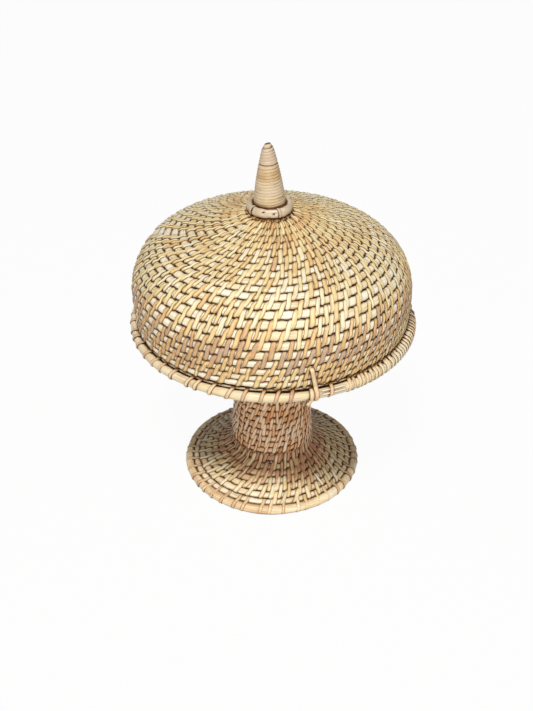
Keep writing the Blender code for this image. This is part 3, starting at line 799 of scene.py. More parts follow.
def settled(coil, sewing, row):
    """Even out a row of stitches, adding one in a wide gap and dropping one where they crowd."""
    row = sorted(row, reverse=True)
    kept = []
    for turn, following in zip(row, row[1:] + [row[0] - TURN]):
        radius = row_radius(coil, turn)
        gap = (turn - following) * radius / sewing.spacing(radius)
        if gap < CROWDED and len(kept) > FEWEST:
            continue
        kept.append(turn)
        if gap > TOO_WIDE:
            kept.append((turn + following) / 2)
    turns = np.array(kept)
    around = np.concatenate([[turns[-1] + TURN], turns, [turns[0] - TURN]])
    return list(turns + EVEN_OUT * ((around[:-2] + around[2:]) / 2 - turns))


# %% [markdown]
# A stitch goes over two turns of cane on the outside, through the wall, back down the inside and out
# again for the next. So the strand is one unbroken strip per wall. Each stop on its way is given by the
# cane it lies on, the angle round that cane, and how far up the stroke it is.

# %% Sewing strand
LOWER, BETWEEN, UPPER = 0, 1, 2
OUT_STROKE = (
    (LOWER, -86, 0.00), (LOWER, -54, 0.08), (LOWER, -20, 0.22), (LOWER, 8, 0.36),
    (BETWEEN, 0, 0.50),
    (UPPER, -8, 0.64), (UPPER, 20, 0.78), (UPPER, 54, 0.92), (UPPER, 86, 1.00),
)
BACK_STROKE = (
    (UPPER, 126, 0.08), (UPPER, 172, 0.30),
    (BETWEEN, 180, 0.50),
    (LOWER, 188, 0.70), (LOWER, 234, 0.92),
)
BETWEEN_DIP = 0.32
GROOVE_THINNING, GROOVE_NARROWING, GROOVE_SHADE_DARKENING = 0.6, 0.28, 0.85
WIDTH_ERROR, THICKNESS_ERROR = 0.13, 0.07
TONE_STOP = 4


def stroke_points(coil, turn, cane, angle):
    """Distance, lift and lean of the section normal for stops on a stroke."""
    reach, inside, between = np.radians(angle), np.abs(angle) > 90, cane == BETWEEN
    middle, half = coil.section(np.where(cane == UPPER, turn + TURN, turn))
    _, seam = coil.edges(turn)
    dip = coil.half_thick * (1 - BETWEEN_DIP) * np.where(inside, -1, 1)
    distance = np.where(between, seam, middle + half * np.sin(reach))
    lift = coil.core + np.where(between, dip, coil.half_thick * np.cos(reach))
    return distance, lift, np.where(between, np.where(inside, math.pi, 0), reach)


def sewn_strand(coil, sewing, turns, tones):
    """The sewing strand of one wall, as one skin."""
    count, random = len(turns), sewing.random
    radius = np.array([row_radius(coil, t) for t in turns])
    gaps = np.diff(np.append(turns, turns[-1] + turns[-1] - turns[-2]))
    spacing = np.array([sewing.spacing(r) for r in radius])
    lean = LEAN_SHARE * spacing / radius * random.normal(1, sewing.lean_error, count)
    widths = np.array([sewing.width(s) for s in spacing]) * random.normal(1, WIDTH_ERROR, count)
    cane, angle, around = stroke_table(count, turns, lean, gaps)
    distance, lift, reach = stroke_points(coil, around, cane, angle)
    path = coil.place(distance, lift, around)
    ahead, outward = coil.frame_at(distance, around)
    back = unit(ahead * np.sin(reach)[..., None] + outward * np.cos(reach)[..., None])
    # Where the strand dives into a groove it is thinner and narrower, and painted darker as shade there.
    deep = smooth(np.abs(np.sin(reach)), 0.80, 1.0)
    errors = random.normal(1, THICKNESS_ERROR, count)[:, None]
    thick = STRAND_THICKNESS * (1 - GROOVE_THINNING * deep) * errors
    width = widths[:, None] * (1 - GROOVE_NARROWING * deep)
    tone = tones(turns, distance[:, TONE_STOP], random)[:, None]
    tone = np.broadcast_to(tone, distance.shape)
    skin = strand_skin(
        coil.name + "_stitches", path.reshape(-1, 3), back.reshape(-1, 3), width.ravel(),
        thick.ravel(), tone.ravel(), (GROOVE_SHADE_DARKENING * deep).ravel(),
    )
    rounds = np.histogram(turns, bins=np.arange(-1, coil.turns + 1) * TURN)[0]
    print(coil.name, count, "stitches,", len(skin.data.polygons), "faces, in each turn", list(rounds))
    return skin


def stroke_table(count, turns, lean, gaps):
    """For each stitch and stop: the cane, the angle round it, and the turn."""
    stops = OUT_STROKE + BACK_STROKE
    cane, angle, share = (np.tile([stop[k] for stop in stops], (count, 1)) for k in range(3))
    out = np.arange(len(stops)) < len(OUT_STROKE)
    next_lean = np.append(lean[1:], lean[-1])
    start, end = turns - lean, turns + lean
    next_start = turns + gaps - next_lean
    going = start[:, None] + (end - start)[:, None] * share
    coming = end[:, None] + (next_start - end)[:, None] * share
    return cane, angle, np.where(out, going, coming)


# %% [markdown]
# Colour follows the bundle the maker took the cane from. One length of strand makes a few stitches, so
# a stitch's tone is part that length's and part its own, about a middle that changes from zone to zone;
# the coil's tone drifts slowly along its length.

# %% Tones
STITCHES_PER_LENGTH = 4


def strand_tones(middle, spread):
    """Tones drawn about a middle that may change along the wall."""

    def draw(turns, distance, random):
        centre = middle(distance) if callable(middle) else middle
        count = len(turns)
        lengths = random.normal(0, 1, count // STITCHES_PER_LENGTH + 2)
        run = np.interp(np.arange(count) / STITCHES_PER_LENGTH, np.arange(len(lengths)), lengths)
        return np.clip(centre + spread * (0.8 * run + 0.7 * random.normal(0, 1, count)), 0, 1)

    return draw


def cane_tones(middle, spread, seed):
    """A tone that drifts slowly along the coil."""
    phases = np.random.default_rng(seed).uniform(0, TURN, 4)

    def draw(turn, distance):
        centre = middle(distance) if callable(middle) else middle
        rates = (0.61, 1.7, 3.9, 8.3)
        drift = sum(np.sin(rate * turn + phase) for rate, phase in zip(rates, phases)) / 2.6
        return np.clip(centre + spread * drift, 0, 1)

    return draw


def dressed(piece, finish, body, slot, *nodes):
    """Give a piece its finish and its body, and hide the nodes that it stands for; slot is not used."""
    piece.data.materials.append(finish)
    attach(piece, body)
    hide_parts(*nodes)


def make_wall(coil, sewing, turns, sides, cane, strand, body, node, sewn_from=-TURN):
    """Lay a wall's cane and sew it. cane and strand are each a finish and its tones."""
    slot = "coil_" + coil.name
    dressed(coil_cane(coil, turns, sides, cane[1]), cane[0], body, slot, node)
    sewn = turns[turns >= sewn_from]
    dressed(sewn_strand(coil, sewing, sewn, strand[1]), strand[0], body, slot, node)


# %% [markdown]
# The lid is the main form: a domed wall of twenty-three turns. Its stitches stand close at the crown
# and about thirteen millimetres apart at the mouth, where the tan strands and the near-white cane
# between them make a checker that climbs to the right.

# %% Lid wall


def lid_strand_middle(distance):
    """Tan near the mouth, a greyish band above it, then straw towards the crown."""
    band = smooth(distance, 0.020, 0.024) * (1 - smooth(distance, 0.038, 0.044))
    straw, crown = smooth(distance, 0.03, 0.08), smooth(distance, 0.11, 0.16)
    return 0.56 - 0.28 * straw + 0.18 * crown + 0.40 * band


def lid_cane_middle(distance):
    return 0.30 + 0.16 * smooth(distance, 0.11, 0.16)


LID_PACES = (0.90, 0.88, 0.90, 1.0, 1.12, 1.14, 1.14, 1.12, 1.08, 1.0)
LID_COIL = Coil("lid", LID_LINE, LID_PITCH, LID_WALL, 11, leaned, LID_PACES)
LID_SEWING = Sewing((0.0068, 0.0070, 0.015, 0.120), 0.0041, 12, 10)
make_wall(
    LID_COIL, LID_SEWING, stitch_turns(LID_COIL, LID_SEWING), 12,
    (CANE, cane_tones(lid_cane_middle, 0.22, 13)), (STRAND, strand_tones(lid_strand_middle, 0.17)),
    LID, "lid_wall",
)

# %% [markdown]
# The tray is the same work lying down, from the rim to the middle of its floor. Its upper side shows
# when the lid is open, and its underside from below. The last turns are too small for a checker, so the
# stitches there run together like spokes. The lid's tie goes through the tray at the edge, where it
# takes the place of a stitch, so the stitches beside it are left out.

# %% Tray
TRAY_COIL = Coil("tray", TRAY_LINE, TRAY_PITCH, TRAY_WALL, 21)
TRAY_SEWING = Sewing((0.0062, 0.0085, 0.004, 0.115), 0.0037, 22, 7)
TIE_TURN, TIE_ROOM = TIE_AT - VIEW_AZIMUTH, 0.085
tray_found = tray_turns = stitch_turns(TRAY_COIL, TRAY_SEWING)
for turn in (TIE_TURN - TURN, TIE_TURN):
    tray_turns = tray_turns[np.abs(tray_turns - turn) > TIE_ROOM]
print("stitches left out beside the tie:", len(tray_found) - len(tray_turns))
make_wall(
    TRAY_COIL, TRAY_SEWING, tray_turns, 8,
    (CANE, cane_tones(0.35, 0.2, 23)), (STRAND, strand_tones(0.45, 0.18)), STAND, "tray_bowl",
)

# %% [markdown]
# The stem is a hollow waist of tight turns. The cane and the strands are darker and redder here, and
# the work is rougher: narrow strands that lean unevenly, as far apart at the waist as at the ends.

# %% Stem
STEM_COIL = Coil("stem", STEM_LINE, STEM_PITCH, STEM_WALL, 31)
STEM_SEWING = Sewing((0.0096, 0.0, 0.0, 1.0), 0.0035, 32, 26, 0.14, 0.5)
make_wall(
    STEM_COIL, STEM_SEWING, stitch_turns(STEM_COIL, STEM_SEWING), 8,
    (STEM_CANE, cane_tones(0.40, 0.24, 33)), (STEM_STRAND, strand_tones(0.34, 0.28)),
    STAND, "stem_wall",
)

# %% [markdown]
# The foot flares out from the stem to the thick cane that the basket stands on. It is tan near the
# stem and paler at the edge. Round the edge each strand also takes in the thick cane, so the foot
# ends in a row of large plain cells between single wraps.

# %% Foot
FOOT_TONES = tones_of(
    (0.00, 252, 240, 208), (0.25, 246, 224, 172), (0.50, 232, 198, 148),
    (0.75, 208, 164, 124), (1.00, 188, 134, 98),
)
FOOT_CANE_TONES = tones_of(
    (0.00, 253, 244, 220), (0.30, 248, 230, 190), (0.55, 234, 202, 158),
    (0.80, 206, 160, 124), (1.00, 184, 136, 106),
)
FOOT_STRAND = rattan("foot strand", FOOT_TONES, PLAIN, 0.75, 0.30, shade_from=0.58)
FOOT_CANE = rattan("foot cane", FOOT_CANE_TONES, PLAIN, 0.70, 0.38, shade_from=0.58)


def foot_cane_middle(distance):
    return 0.26 + 0.44 * smooth(distance, 0.014, 0.042)


def foot_strand_middle(distance):
    return 0.24 + 0.62 * smooth(distance, 0.016, 0.045)


FOOT_COIL = Coil("foot", FOOT_LINE, FOOT_PITCH, FOOT_WALL, 41)
FOOT_SEWING = Sewing((0.0092, 0.0030, 0.042, 0.080), 0.0041, 42, 28, 0.08, 0.35)
make_wall(
    FOOT_COIL, FOOT_SEWING, stitch_turns(FOOT_COIL, FOOT_SEWING), 10,
    (FOOT_CANE, cane_tones(foot_cane_middle, 0.2, 43)),
    (FOOT_STRAND, strand_tones(foot_strand_middle, 0.2)), STAND, "foot_wall", sewn_from=0,
)

# %% [markdown]
# Hoops are bent poles: one cane bent round until its ends meet. They are the same rolled skin, so that
# the grain runs round the hoop, and waves keep them from being perfect.

# %% Hoops
HOOP_WAVER = 0.0003
POLE_TONES = tones_of(
    (0.00, 253, 247, 226), (0.35, 250, 240, 206), (0.65, 243, 224, 178),
    (0.85, 234, 200, 146), (1.00, 196, 150, 100),
)
POLE = rattan("rim pole", POLE_TONES, srgb(240, 235, 234), 0.95, 0.26)
ROD = rattan("rim rod", POLE_TONES, srgb(238, 226, 216), 0.6, 0.30, shade_from=0.12)


def bent_cane(name, flat, azimuth, half, sides, tone, warp=upright, flatness=1.0, closed=False):
    """A cane along points of radius and height at these azimuths, with an upright section."""
    outward = spun(np.tile([1.0, 0.0], (len(azimuth), 1)), azimuth)
    ways = (outward, np.tile([0.0, 0.0, 1.0], (len(azimuth), 1)))
    centres = warp(spun(flat, azimuth))
    return cane_skin(name, centres, ways, (half, half * flatness), sides, tone, closed=closed)


def ring_cane(name, radius, height, tube, sides, columns, tone, seed, warp):
    """A bent pole that closes on itself, as a skin whose two ends meet."""
    azimuth = np.linspace(0, TURN, columns + 1)
    phase = np.random.default_rng(seed).uniform(0, TURN, 4)
    waver = HOOP_WAVER * (np.sin(3 * azimuth + phase[0]) + 0.6 * np.sin(7 * azimuth + phase[1]))
    lift = HOOP_WAVER * 0.7 * np.sin(5 * azimuth + phase[2])
    half = tube * (1 + 0.04 * np.sin(9 * azimuth + phase[3]))
    tones = tone + 0.12 * np.sin(2 * azimuth + phase[0]) + 0.08 * np.sin(11 * azimuth + phase[1])
    flat = np.stack([radius + waver, height + lift], axis=-1)
    return bent_cane(name, flat, azimuth, half, sides, np.clip(tones, 0, 1), warp, closed=True)


ROD_MIDDLE, ROD_RADIUS = 0.1298, 0.0013
ROD_HEIGHT = RIM_TOP + GAP + ROD_RADIUS
EDGE_MIDDLE, EDGE_RADIUS = FOOT_HOOP_MIDDLE - 0.0005, 0.0046
EDGE_HEIGHT = EDGE_RADIUS + 0.0003
SEAT_RADIUS, SEAT_TUBE = 0.1214, 0.0026
SEAT_HEIGHT = RIM_TOP + GAP + SEAT_TUBE
# Each hoop: ring_cane's values after the name, then its finish, slot and node.
HOOPS = {
    "rim_pole": (
        (RIM_RADIUS, RIM_HEIGHT, RIM_POLE_RADIUS, 18, 192, 0.42, 51, nudged),
        POLE, "cane_pole", "rim_hoop",
    ),
    "rim_inner_rod": (
        (ROD_MIDDLE, ROD_HEIGHT, ROD_RADIUS, 10, 160, 0.4, 52, nudged),
        ROD, "rim_rod_cane", "rim_rod",
    ),
    "foot_edge_cane": (
        (EDGE_MIDDLE, EDGE_HEIGHT, EDGE_RADIUS, 14, 144, 0.40, 53, upright),
        FOOT_CANE, "cane_pole", "foot_hoop",
    ),
    "lid_seat_cane": (
        (SEAT_RADIUS, SEAT_HEIGHT, SEAT_TUBE, 10, 144, 0.45, 54, upright),
        CANE, "coil_tray", "lid_seat_hoop",
    ),
}
for name, (values, finish, slot, node) in HOOPS.items():
    dressed(ring_cane(name, *values), finish, STAND, slot, node)

# %% [markdown]
# Wraps are strands that go round and round a pole. Each loop is the same outline in radius and height,
# walked once, while the azimuth moves on by one step. Most of that step is taken where it is hidden,
# so on the outside each loop leans only a little.

# %% Wraps


def wrap_loops(name, outline, azimuths, lean, width, thick, tones, seed, warp=upright):
    """A strand wound along a hoop. outline has radius, height, normal and share at each stop."""
    random = np.random.default_rng(seed)
    stops, count = len(outline), len(azimuths) - 1
    shares = outline[:, 3]
    starts, steps = azimuths[:-1, None], np.diff(azimuths)[:, None]
    leans = (lean * random.normal(1, 0.15, count))[:, None]
    shown = starts + leans * (shares * 2 - 0.5)
    hidden = starts + leans * 0.5 + (steps - leans) * (shares * 2 - 1)
    along = np.where(shares <= 0.5, shown, hidden).ravel()
    path = warp(spun(np.tile(outline[:, :2], (count, 1)), along))
    outward = facing(np.tile(outline[:, 2], count), along)
    widths = np.repeat(width * random.normal(1, 0.06, count), stops)
    tone = np.repeat(tones(np.arange(count), np.zeros(count), random), stops)
    print(name, count, "loops")
    return strand_skin(name, path, outward, widths, thick, tone)


def loop_outline(stops):
    """Stops of (radius, height, normal in degrees), with the share of the way round added."""
    table = np.array(stops, float)
    table[:, 2] = np.radians(table[:, 2])
    closed = np.concatenate([table[:, :2], table[:1, :2]])
    steps = np.linalg.norm(np.diff(closed, axis=0), axis=1)
    share = np.concatenate([[0], np.cumsum(steps)[:-1]]) / steps.sum()
    return np.column_stack([table, share])


def round_stops(radius, height, reach, angles):
    return [
        (radius + reach * math.cos(math.radians(a)), height + reach * math.sin(math.radians(a)), a)
        for a in angles
    ]


# %% [markdown]
# The rim's lashing takes in the pole and the thin rod, and goes down through the tray's first turn.
# At the front and left it is open, about fifteen millimetres a step. At the right the loops lie close
# together, where the maker closed the pole's joint.

# %% Rim lashing
RIM_STRAND, RIM_STRAND_THICK = 0.0034, 0.0010
RIM_LEAN = math.radians(2.5)
PIERCE_RADIUS, UNDER_RADIUS = 0.1268, 0.1300
UNDER_TRAY = RIM_TOP - TRAY_WALL - 0.0004
CLEAR = 0.0001
LASH_TONES = tones_of(
    (0.00, 250, 236, 204), (0.30, 240, 216, 172), (0.60, 224, 188, 148),
    (0.85, 206, 166, 128), (1.00, 190, 152, 124),
)
LASH = rattan("rim lashing", LASH_TONES, PLAIN, 0.6, 0.34)


def rim_outline(*over_pole):
    """From under the pole over it and the rod, down through the tray and back under it."""
    rod = round_stops(ROD_MIDDLE, ROD_HEIGHT, ROD_RADIUS + CLEAR, (70, 110, 160))
    through = [(PIERCE_RADIUS, RIM_TOP - 0.001, 180), (PIERCE_RADIUS, UNDER_TRAY, 225)]
    pole = [
        stop for reach, angles in over_pole
        for stop in round_stops(RIM_RADIUS, RIM_HEIGHT, RIM_POLE_RADIUS + reach, angles)
    ]
    return loop_outline(pole + rod + through + [(UNDER_RADIUS, UNDER_TRAY, 270)])


def rim_loops(name, outline, azimuths, tones, seed, node):
    lashing = wrap_loops(
        name, outline, azimuths, RIM_LEAN, RIM_STRAND, RIM_STRAND_THICK, tones, seed, nudged
    )
    dressed(lashing, LASH, STAND, "binding_peel", node)


def stepped(start, end, step, seed, spread):
    """Azimuths from start to end, about one step apart, with a hand's error."""
    count = max(round(abs(end - start) / step), 1)
    even = np.linspace(start, end, count + 1)
    wobble = np.random.default_rng(seed).normal(0, spread, count + 1) * (end - start) / count
    return np.sort(even + wobble)


RIM_OUTLINE = rim_outline((CLEAR, (-95, -60, -30, 0, 30, 60, 88)))
# Each span in degrees: start, end and step, then the hand's error and the tone's middle.
RIM_SPANS = {
    "front": (-196, -93, 6.2, 0.10, 0.58),
    "back": (-374, -197.5, 6.2, 0.10, 0.58),
    "side": (-436, -376, 2.05, 0.12, 0.20),
}
for label, (start, end, step, spread, middle) in RIM_SPANS.items():
    azimuths = stepped(*np.radians([start, end, step]), 61, spread)
    tones = strand_tones(middle, 0.14)
    rim_loops("rim_lashing_" + label, RIM_OUTLINE, azimuths, tones, 62, "rim_binding_" + label)

# %% [markdown]
# Wraps go round the foot's edge cane too. Each takes in the wall's first turn: over it on the outside,
# through the groove above it, and back down inside.

# %% Foot edge wraps
EDGE_WRAPS, EDGE_WRAP_LEAN = 44, math.radians(2.6)
EDGE_WRAP_WIDTH, EDGE_WRAP_THICK = 0.0036, 0.0006
# Stops on the first turn: how far up it, how far out of its middle, and how its normal is turned.
OVER_FIRST_TURN = (
    (0.3, 1.0, 0), (0.6, 1.0, 0), (0.85, 0.75, 25), (1.0, 0.0, 70), (0.85, -0.8, 140), (0.5, -1.0, 180),
)


def foot_outline():
    """Round the edge cane and over the wall's first turn, to its upper groove and back inside."""
    stops = round_stops(EDGE_MIDDLE, EDGE_HEIGHT, EDGE_RADIUS, (-60, -30, 0, 35, 70))
    slope = math.degrees(math.pi / 2 - FOOT_SLOPE)
    for share, out, turned in OVER_FIRST_TURN:
        lift = FOOT_COIL.core + FOOT_COIL.half_thick * out
        radius, height = FOOT_LINE.at(FOOT_COIL.pitch * share, lift)
        stops.append((radius, height, slope + turned))
    stops.append((EDGE_MIDDLE - EDGE_RADIUS, EDGE_HEIGHT - 0.001, 200))
    return loop_outline(stops)


edge_steps = stepped(0, TURN, TURN / EDGE_WRAPS, 66, 0.12)
edge_steps[-1] = edge_steps[0] + TURN
edge_wraps = wrap_loops(
    "foot_edge_wraps", foot_outline(), edge_steps, EDGE_WRAP_LEAN, EDGE_WRAP_WIDTH,
    EDGE_WRAP_THICK, strand_tones(0.50, 0.15), 63,
)
dressed(edge_wraps, FOOT_STRAND, STAND, "coil_foot", "foot_hoop")

# %% [markdown]
# The seat hoop inside the tray is sewn down with plain loops.

# %% Seat loops
SEAT_STEP, SEAT_LEAN = math.radians(8), math.radians(1.2)
SEAT_STRAND, SEAT_STRAND_THICK, SEAT_UNDER = 0.0030, 0.0005, 0.0022

seat_outline = loop_outline(
    round_stops(SEAT_RADIUS, SEAT_HEIGHT, SEAT_TUBE, (-20, 30, 90, 150, 200))
    + [(SEAT_RADIUS - SEAT_UNDER, UNDER_TRAY, 250), (SEAT_RADIUS + SEAT_UNDER, UNDER_TRAY, 290)]
)
seat_loops = wrap_loops(
    "lid_seat_loops", seat_outline, stepped(0, TURN, SEAT_STEP, 64, 0.10), SEAT_LEAN, SEAT_STRAND,
    SEAT_STRAND_THICK, strand_tones(0.5, 0.15), 65,
)
dressed(seat_loops, STRAND, STAND, "coil_tray", "lid_seat_hoop")

# %% [markdown]
# Two thin canes lie over the pole's joint, right of the tie, pressed a little into the pole. They are
# short lengths of the same skin, thinner at their ends, and one loop of the lashing goes over both.

# %% Splice canes
SPLICE_START, SPLICE_END, SPLICE_STEPS = math.radians(-88), math.radians(-78), 25
SPLICE_RADIUS = 0.0009
SPLICE_LOOP = np.radians([-84.2, -83.4])


def ends_thinned(count, least, reach):
    """1 along a cane of this many steps, falling to least at both ends."""
    from_end = np.minimum(np.arange(count), np.arange(count)[::-1])
    return least + (1 - least) * smooth(from_end, 0, reach)


for label, degrees in (("lower", 22), ("upper", 58)):
    azimuth = np.linspace(SPLICE_START, SPLICE_END, SPLICE_STEPS)
    reach = RIM_POLE_RADIUS + 0.6 * SPLICE_RADIUS
    radius, height, _ = round_stops(RIM_RADIUS, RIM_HEIGHT, reach, (degrees,))[0]
    flat = np.tile([radius, height], (SPLICE_STEPS, 1))
    half = SPLICE_RADIUS * ends_thinned(SPLICE_STEPS, 0.6, 2)
    tone = np.full(SPLICE_STEPS, 0.2)
    cane = bent_cane("splice_cane_" + label, flat, azimuth, half, 10, tone, nudged)
    dressed(cane, POLE, STAND, "cane_pole", "rim_splice_cane_" + label)

splice_outline = rim_outline((CLEAR, (-95, -50)), (1.6 * SPLICE_RADIUS + 0.0002, (10, 38, 66)))
splice_tones = strand_tones(0.62, 0.02)
rim_loops("rim_splice_loop", splice_outline, SPLICE_LOOP, splice_tones, 67, "rim_binding_side")

# %% [markdown]
# The tie is the hinge: one strip that comes out of the lid's wall, goes down over the gap and once
# round the pole, with its end left loose. It rides with the lid and turns about the pole. On its way
# past the tray's edge it runs into some of the stitches, the cane and the rod.

# %% Tie
TIE_WIDTH, TIE_THICK, TIE_TONE = 0.0040, 0.0009, 0.42
TIE_LIFT, TIE_LOOSE_END = 0.0013, 0.0060
TIE_HOLE = LID_MOUTH + 0.0197
TIE_STEPS, TIE_DEGREES = 16, 28


def wall_radius(height):
    points = LID_LINE.points
    return float(np.interp(height, points[:, 1], points[:, 0]))


def tie_path():
    """Radius, height, sideways shift and normal of each stop, from the tail to the loose end."""
    outside = wall_radius(TIE_HOLE)
    inside = outside - LID_WALL - 0.0004
    stops = [
        (inside, TIE_HOLE - 0.009, -0.0030, 180), (inside, TIE_HOLE - 0.002, -0.0028, 180),
        (inside + 0.002, TIE_HOLE, -0.0027, 120), (outside - 0.001, TIE_HOLE, -0.0026, 60),
    ]
    for share in (0.08, 0.3, 0.55, 0.8, 0.98):
        height = TIE_HOLE + (LID_MOUTH - TIE_HOLE) * share
        stops.append((wall_radius(height) + 0.0012, height, -0.0025 + 0.003 * share, 0))
    for k in range(TIE_STEPS):
        share = k / (TIE_STEPS - 1)
        reach = RIM_POLE_RADIUS + TIE_LIFT - 0.0002 * share
        around = round_stops(RIM_RADIUS, RIM_HEIGHT, reach, (40 - TIE_DEGREES * k,))
        radius, height, angle = around[0]
        stops.append((radius, height, 0.0005 - 0.0052 * share, angle))
    for share in (0.35, 0.7, 1.0):
        drop, turned = TIE_LOOSE_END * share, angle + 25 * share
        stops.append((radius + 0.2 * drop, height - 0.7 * drop, -0.0047 - 0.7 * drop, turned))
    return np.array(stops)


def make_tie():
    stops = tie_path()
    fine, coarse = np.linspace(0, len(stops) - 1, 4 * len(stops)), np.arange(len(stops))
    radius, height, shift, normal = (np.interp(fine, coarse, column) for column in stops.T)
    across = np.array([-math.sin(TIE_AT), math.cos(TIE_AT), 0.0])
    low = 1 - smooth(height, RIM_TOP, TIE_HOLE)
    path = spun(np.stack([radius, height], axis=-1), TIE_AT)
    path += shift[:, None] * across - RIM_NUDGE * low[:, None] * LEFT
    outward = facing(np.radians(normal), TIE_AT)
    strip = strand_skin("tie_strip", path, outward, TIE_WIDTH, TIE_THICK, TIE_TONE)
    dressed(strip, LASH, LID, "tie_peel", "hinge_strap")


make_tie()

# %% [markdown]
# The finial is a tapered core wound with wide peel strips. Its bands are tan at the bottom, cream and
# tan above, and a pale greyish pink at the top, with a dark seam at seven tenths of its height, where
# the second strip starts.

# %% Finial
FINIAL_BASE, FINIAL_HEIGHT = CROWN_TOP + GAP, 0.0607
FINIAL_BASE_RADIUS, FINIAL_TIP_RADIUS, FINIAL_FULLNESS = 0.0151, 0.0044, 1.5
FINIAL_TAPER = FINIAL_BASE_RADIUS - FINIAL_TIP_RADIUS
FINIAL_SEAM, SEAM_HALF, TIP_ROUNDING = 0.702, 0.006, 0.42
BAND, BAND_THICK, BAND_EDGE_SHADE, BAND_STEPS = 0.0027, 0.0006, 0.78, 40
BAND_TILT, BAND_TONE_ERROR = 0.0006, 0.10
PEG_RADIUS, PEG_BELOW = 0.0061, 0.0060
CORE_STEPS, CORE_COLUMNS, CORE_CREASE = 14, 36, 40
FINIAL_TONES = tones_of(
    (0.00, 206, 182, 158), (0.25, 226, 208, 178), (0.50, 212, 188, 148),
    (0.75, 196, 162, 116), (1.00, 174, 130, 88),
)
FINIAL_PEEL = rattan("finial peel", FINIAL_TONES, PLAIN, 0.95, 0.36)


def finial_radius(share):
    radius = FINIAL_TIP_RADIUS + FINIAL_TAPER * (1 - share**FINIAL_FULLNESS)
    return radius * (1 - TIP_ROUNDING * smooth(share, 0.90, 1.03))


def finial_tone(share):
    """From the base up: tan, cream, tan, then the pale pink of the upper strip."""
    places = (0.0, 0.08, 0.20, 0.38, 0.45, 0.48, 0.68, 0.71, 0.85, 1.0)
    tones = (0.74, 0.60, 0.34, 0.28, 0.42, 0.64, 0.62, 0.08, 0.12, 0.22)
    return np.interp(share, places, tones)


def make_winding(name, low, high, node, seed):
    """A strip wound from low to high, shares of the height, with a level turn at both ends."""
    random = np.random.default_rng(seed)
    climb = (high - low) * FINIAL_HEIGHT - BAND
    turns = climb / BAND + 2
    rounds = np.linspace(0, turns, int(turns * BAND_STEPS))
    azimuth = rounds * TURN + seed
    climbed = BAND / 2 + climb * np.clip((rounds - 1) / (turns - 2), 0, 1)
    share = low + climbed / FINIAL_HEIGHT
    height = FINIAL_BASE + share * FINIAL_HEIGHT + BAND_TILT * np.sin(azimuth + 2.2)
    flat = np.stack([finial_radius(share) - BAND_THICK, height], axis=-1)
    slope = FINIAL_FULLNESS * share ** (FINIAL_FULLNESS - 1) * FINIAL_TAPER
    outward = facing(np.arctan2(slope, FINIAL_HEIGHT), azimuth)
    per_turn = random.normal(0, BAND_TONE_ERROR, int(turns) + 2)
    drift = np.interp(azimuth / TURN, np.arange(len(per_turn)), per_turn)
    tone = np.clip(finial_tone(share) + drift, 0, 1)
    path = leaned(spun(flat, azimuth))
    # The band's edges get the strands' painted edge shade, a little weaker, which draws the lines
    # between bands.
    band = strand_skin(name, path, outward, BAND, BAND_THICK, tone, edge=BAND_EDGE_SHADE)
    dressed(band, FINIAL_PEEL, LID, "finial_peel", node)


def make_finial_core():
    bm = bmesh.new()
    under = CROWN_TOP - LID_WALL - PEG_BELOW
    points = [(0.0, FINIAL_BASE + FINIAL_HEIGHT)]
    for share in np.linspace(1, 0, CORE_STEPS):
        radius = finial_radius(share) - BAND_THICK
        points.append((radius, FINIAL_BASE + share * FINIAL_HEIGHT - 0.0002))
    points += [(PEG_RADIUS, FINIAL_BASE), (PEG_RADIUS, under), (0.0, under)]
    verts = [bm.verts.new((radius, 0, height)) for radius, height in points]
    edges = [bm.edges.new(pair) for pair in zip(verts, verts[1:])]
    bmesh.ops.spin(
        bm, geom=verts + edges, axis=(0, 0, 1), cent=(0, 0, 0), steps=CORE_COLUMNS, angle=TURN,
        use_merge=True,
    )
    bmesh.ops.remove_doubles(bm, verts=bm.verts, dist=WELD)
    bmesh.ops.recalc_face_normals(bm, faces=bm.faces)
    for vertex in bm.verts:
        vertex.co = leaned(np.array(vertex.co))
    mesh = mesh_from(bm, "finial_core_wood")
    mesh.shade_smooth()
    mesh.set_sharp_from_angle(angle=math.radians(CORE_CREASE))
    wood = Finish("finial core")
    patch = wood.noise(wood.node("TexCoord", {}, {}, "Object"), (300, 300, 60), 3.0, 0.6)
    wood.set(Base_Color=wood.mix(patch, srgb(120, 84, 56), srgb(70, 46, 30)), Roughness=0.6)
    core = placed("finial_core_wood", mesh)
    dressed(core, wood.material, LID, "finial_wood", "finial_core")


make_finial_core()
make_winding("finial_bands_lower", 0.0, FINIAL_SEAM - SEAM_HALF, "finial_winding_lower", 71)
make_winding("finial_bands_upper", FINIAL_SEAM + SEAM_HALF, 1.0, "finial_winding_upper", 72)

# %% [markdown]
# Round the finial's foot lies a ring of pinkish fibre, rougher than the cane, with holes where strands
# go through it. The holes are pressed into its skin, and their darkness is painted shade: the deeper the
# dent, the nearer the colour to a near-black brown.

# %% Collar
COLLAR_RADIUS, COLLAR_TUBE, COLLAR_FLATNESS = 0.0179, 0.0042, 0.90
COLLAR_HEIGHT = middle_height("collar_ring")
COLLAR_COLUMNS, COLLAR_SIDES = 96, 16
# The holes, in degrees round the axis and round the ring's own section, and their size.
COLLAR_HOLES = ((-95, 15), (-122, 40), (-160, 30), (40, 45))
HOLE_FLOOR, HOLE_EDGE, HOLE_DEPTH = 0.0006, 0.0019, 0.0015
COLLAR_TONES = tones_of(
    (0.00, 238, 224, 200), (0.35, 222, 202, 174), (0.60, 204, 182, 152),
    (0.80, 174, 148, 120), (1.00, 132, 106, 84),
)
COLLAR_TINT, HOLE_SHADE_BROWN = srgb(250, 250, 250), srgb(36, 22, 14)
COLLAR_FIBRE = rattan("collar fibre", COLLAR_TONES, COLLAR_TINT, 1.2, 0.5, groove=HOLE_SHADE_BROWN)


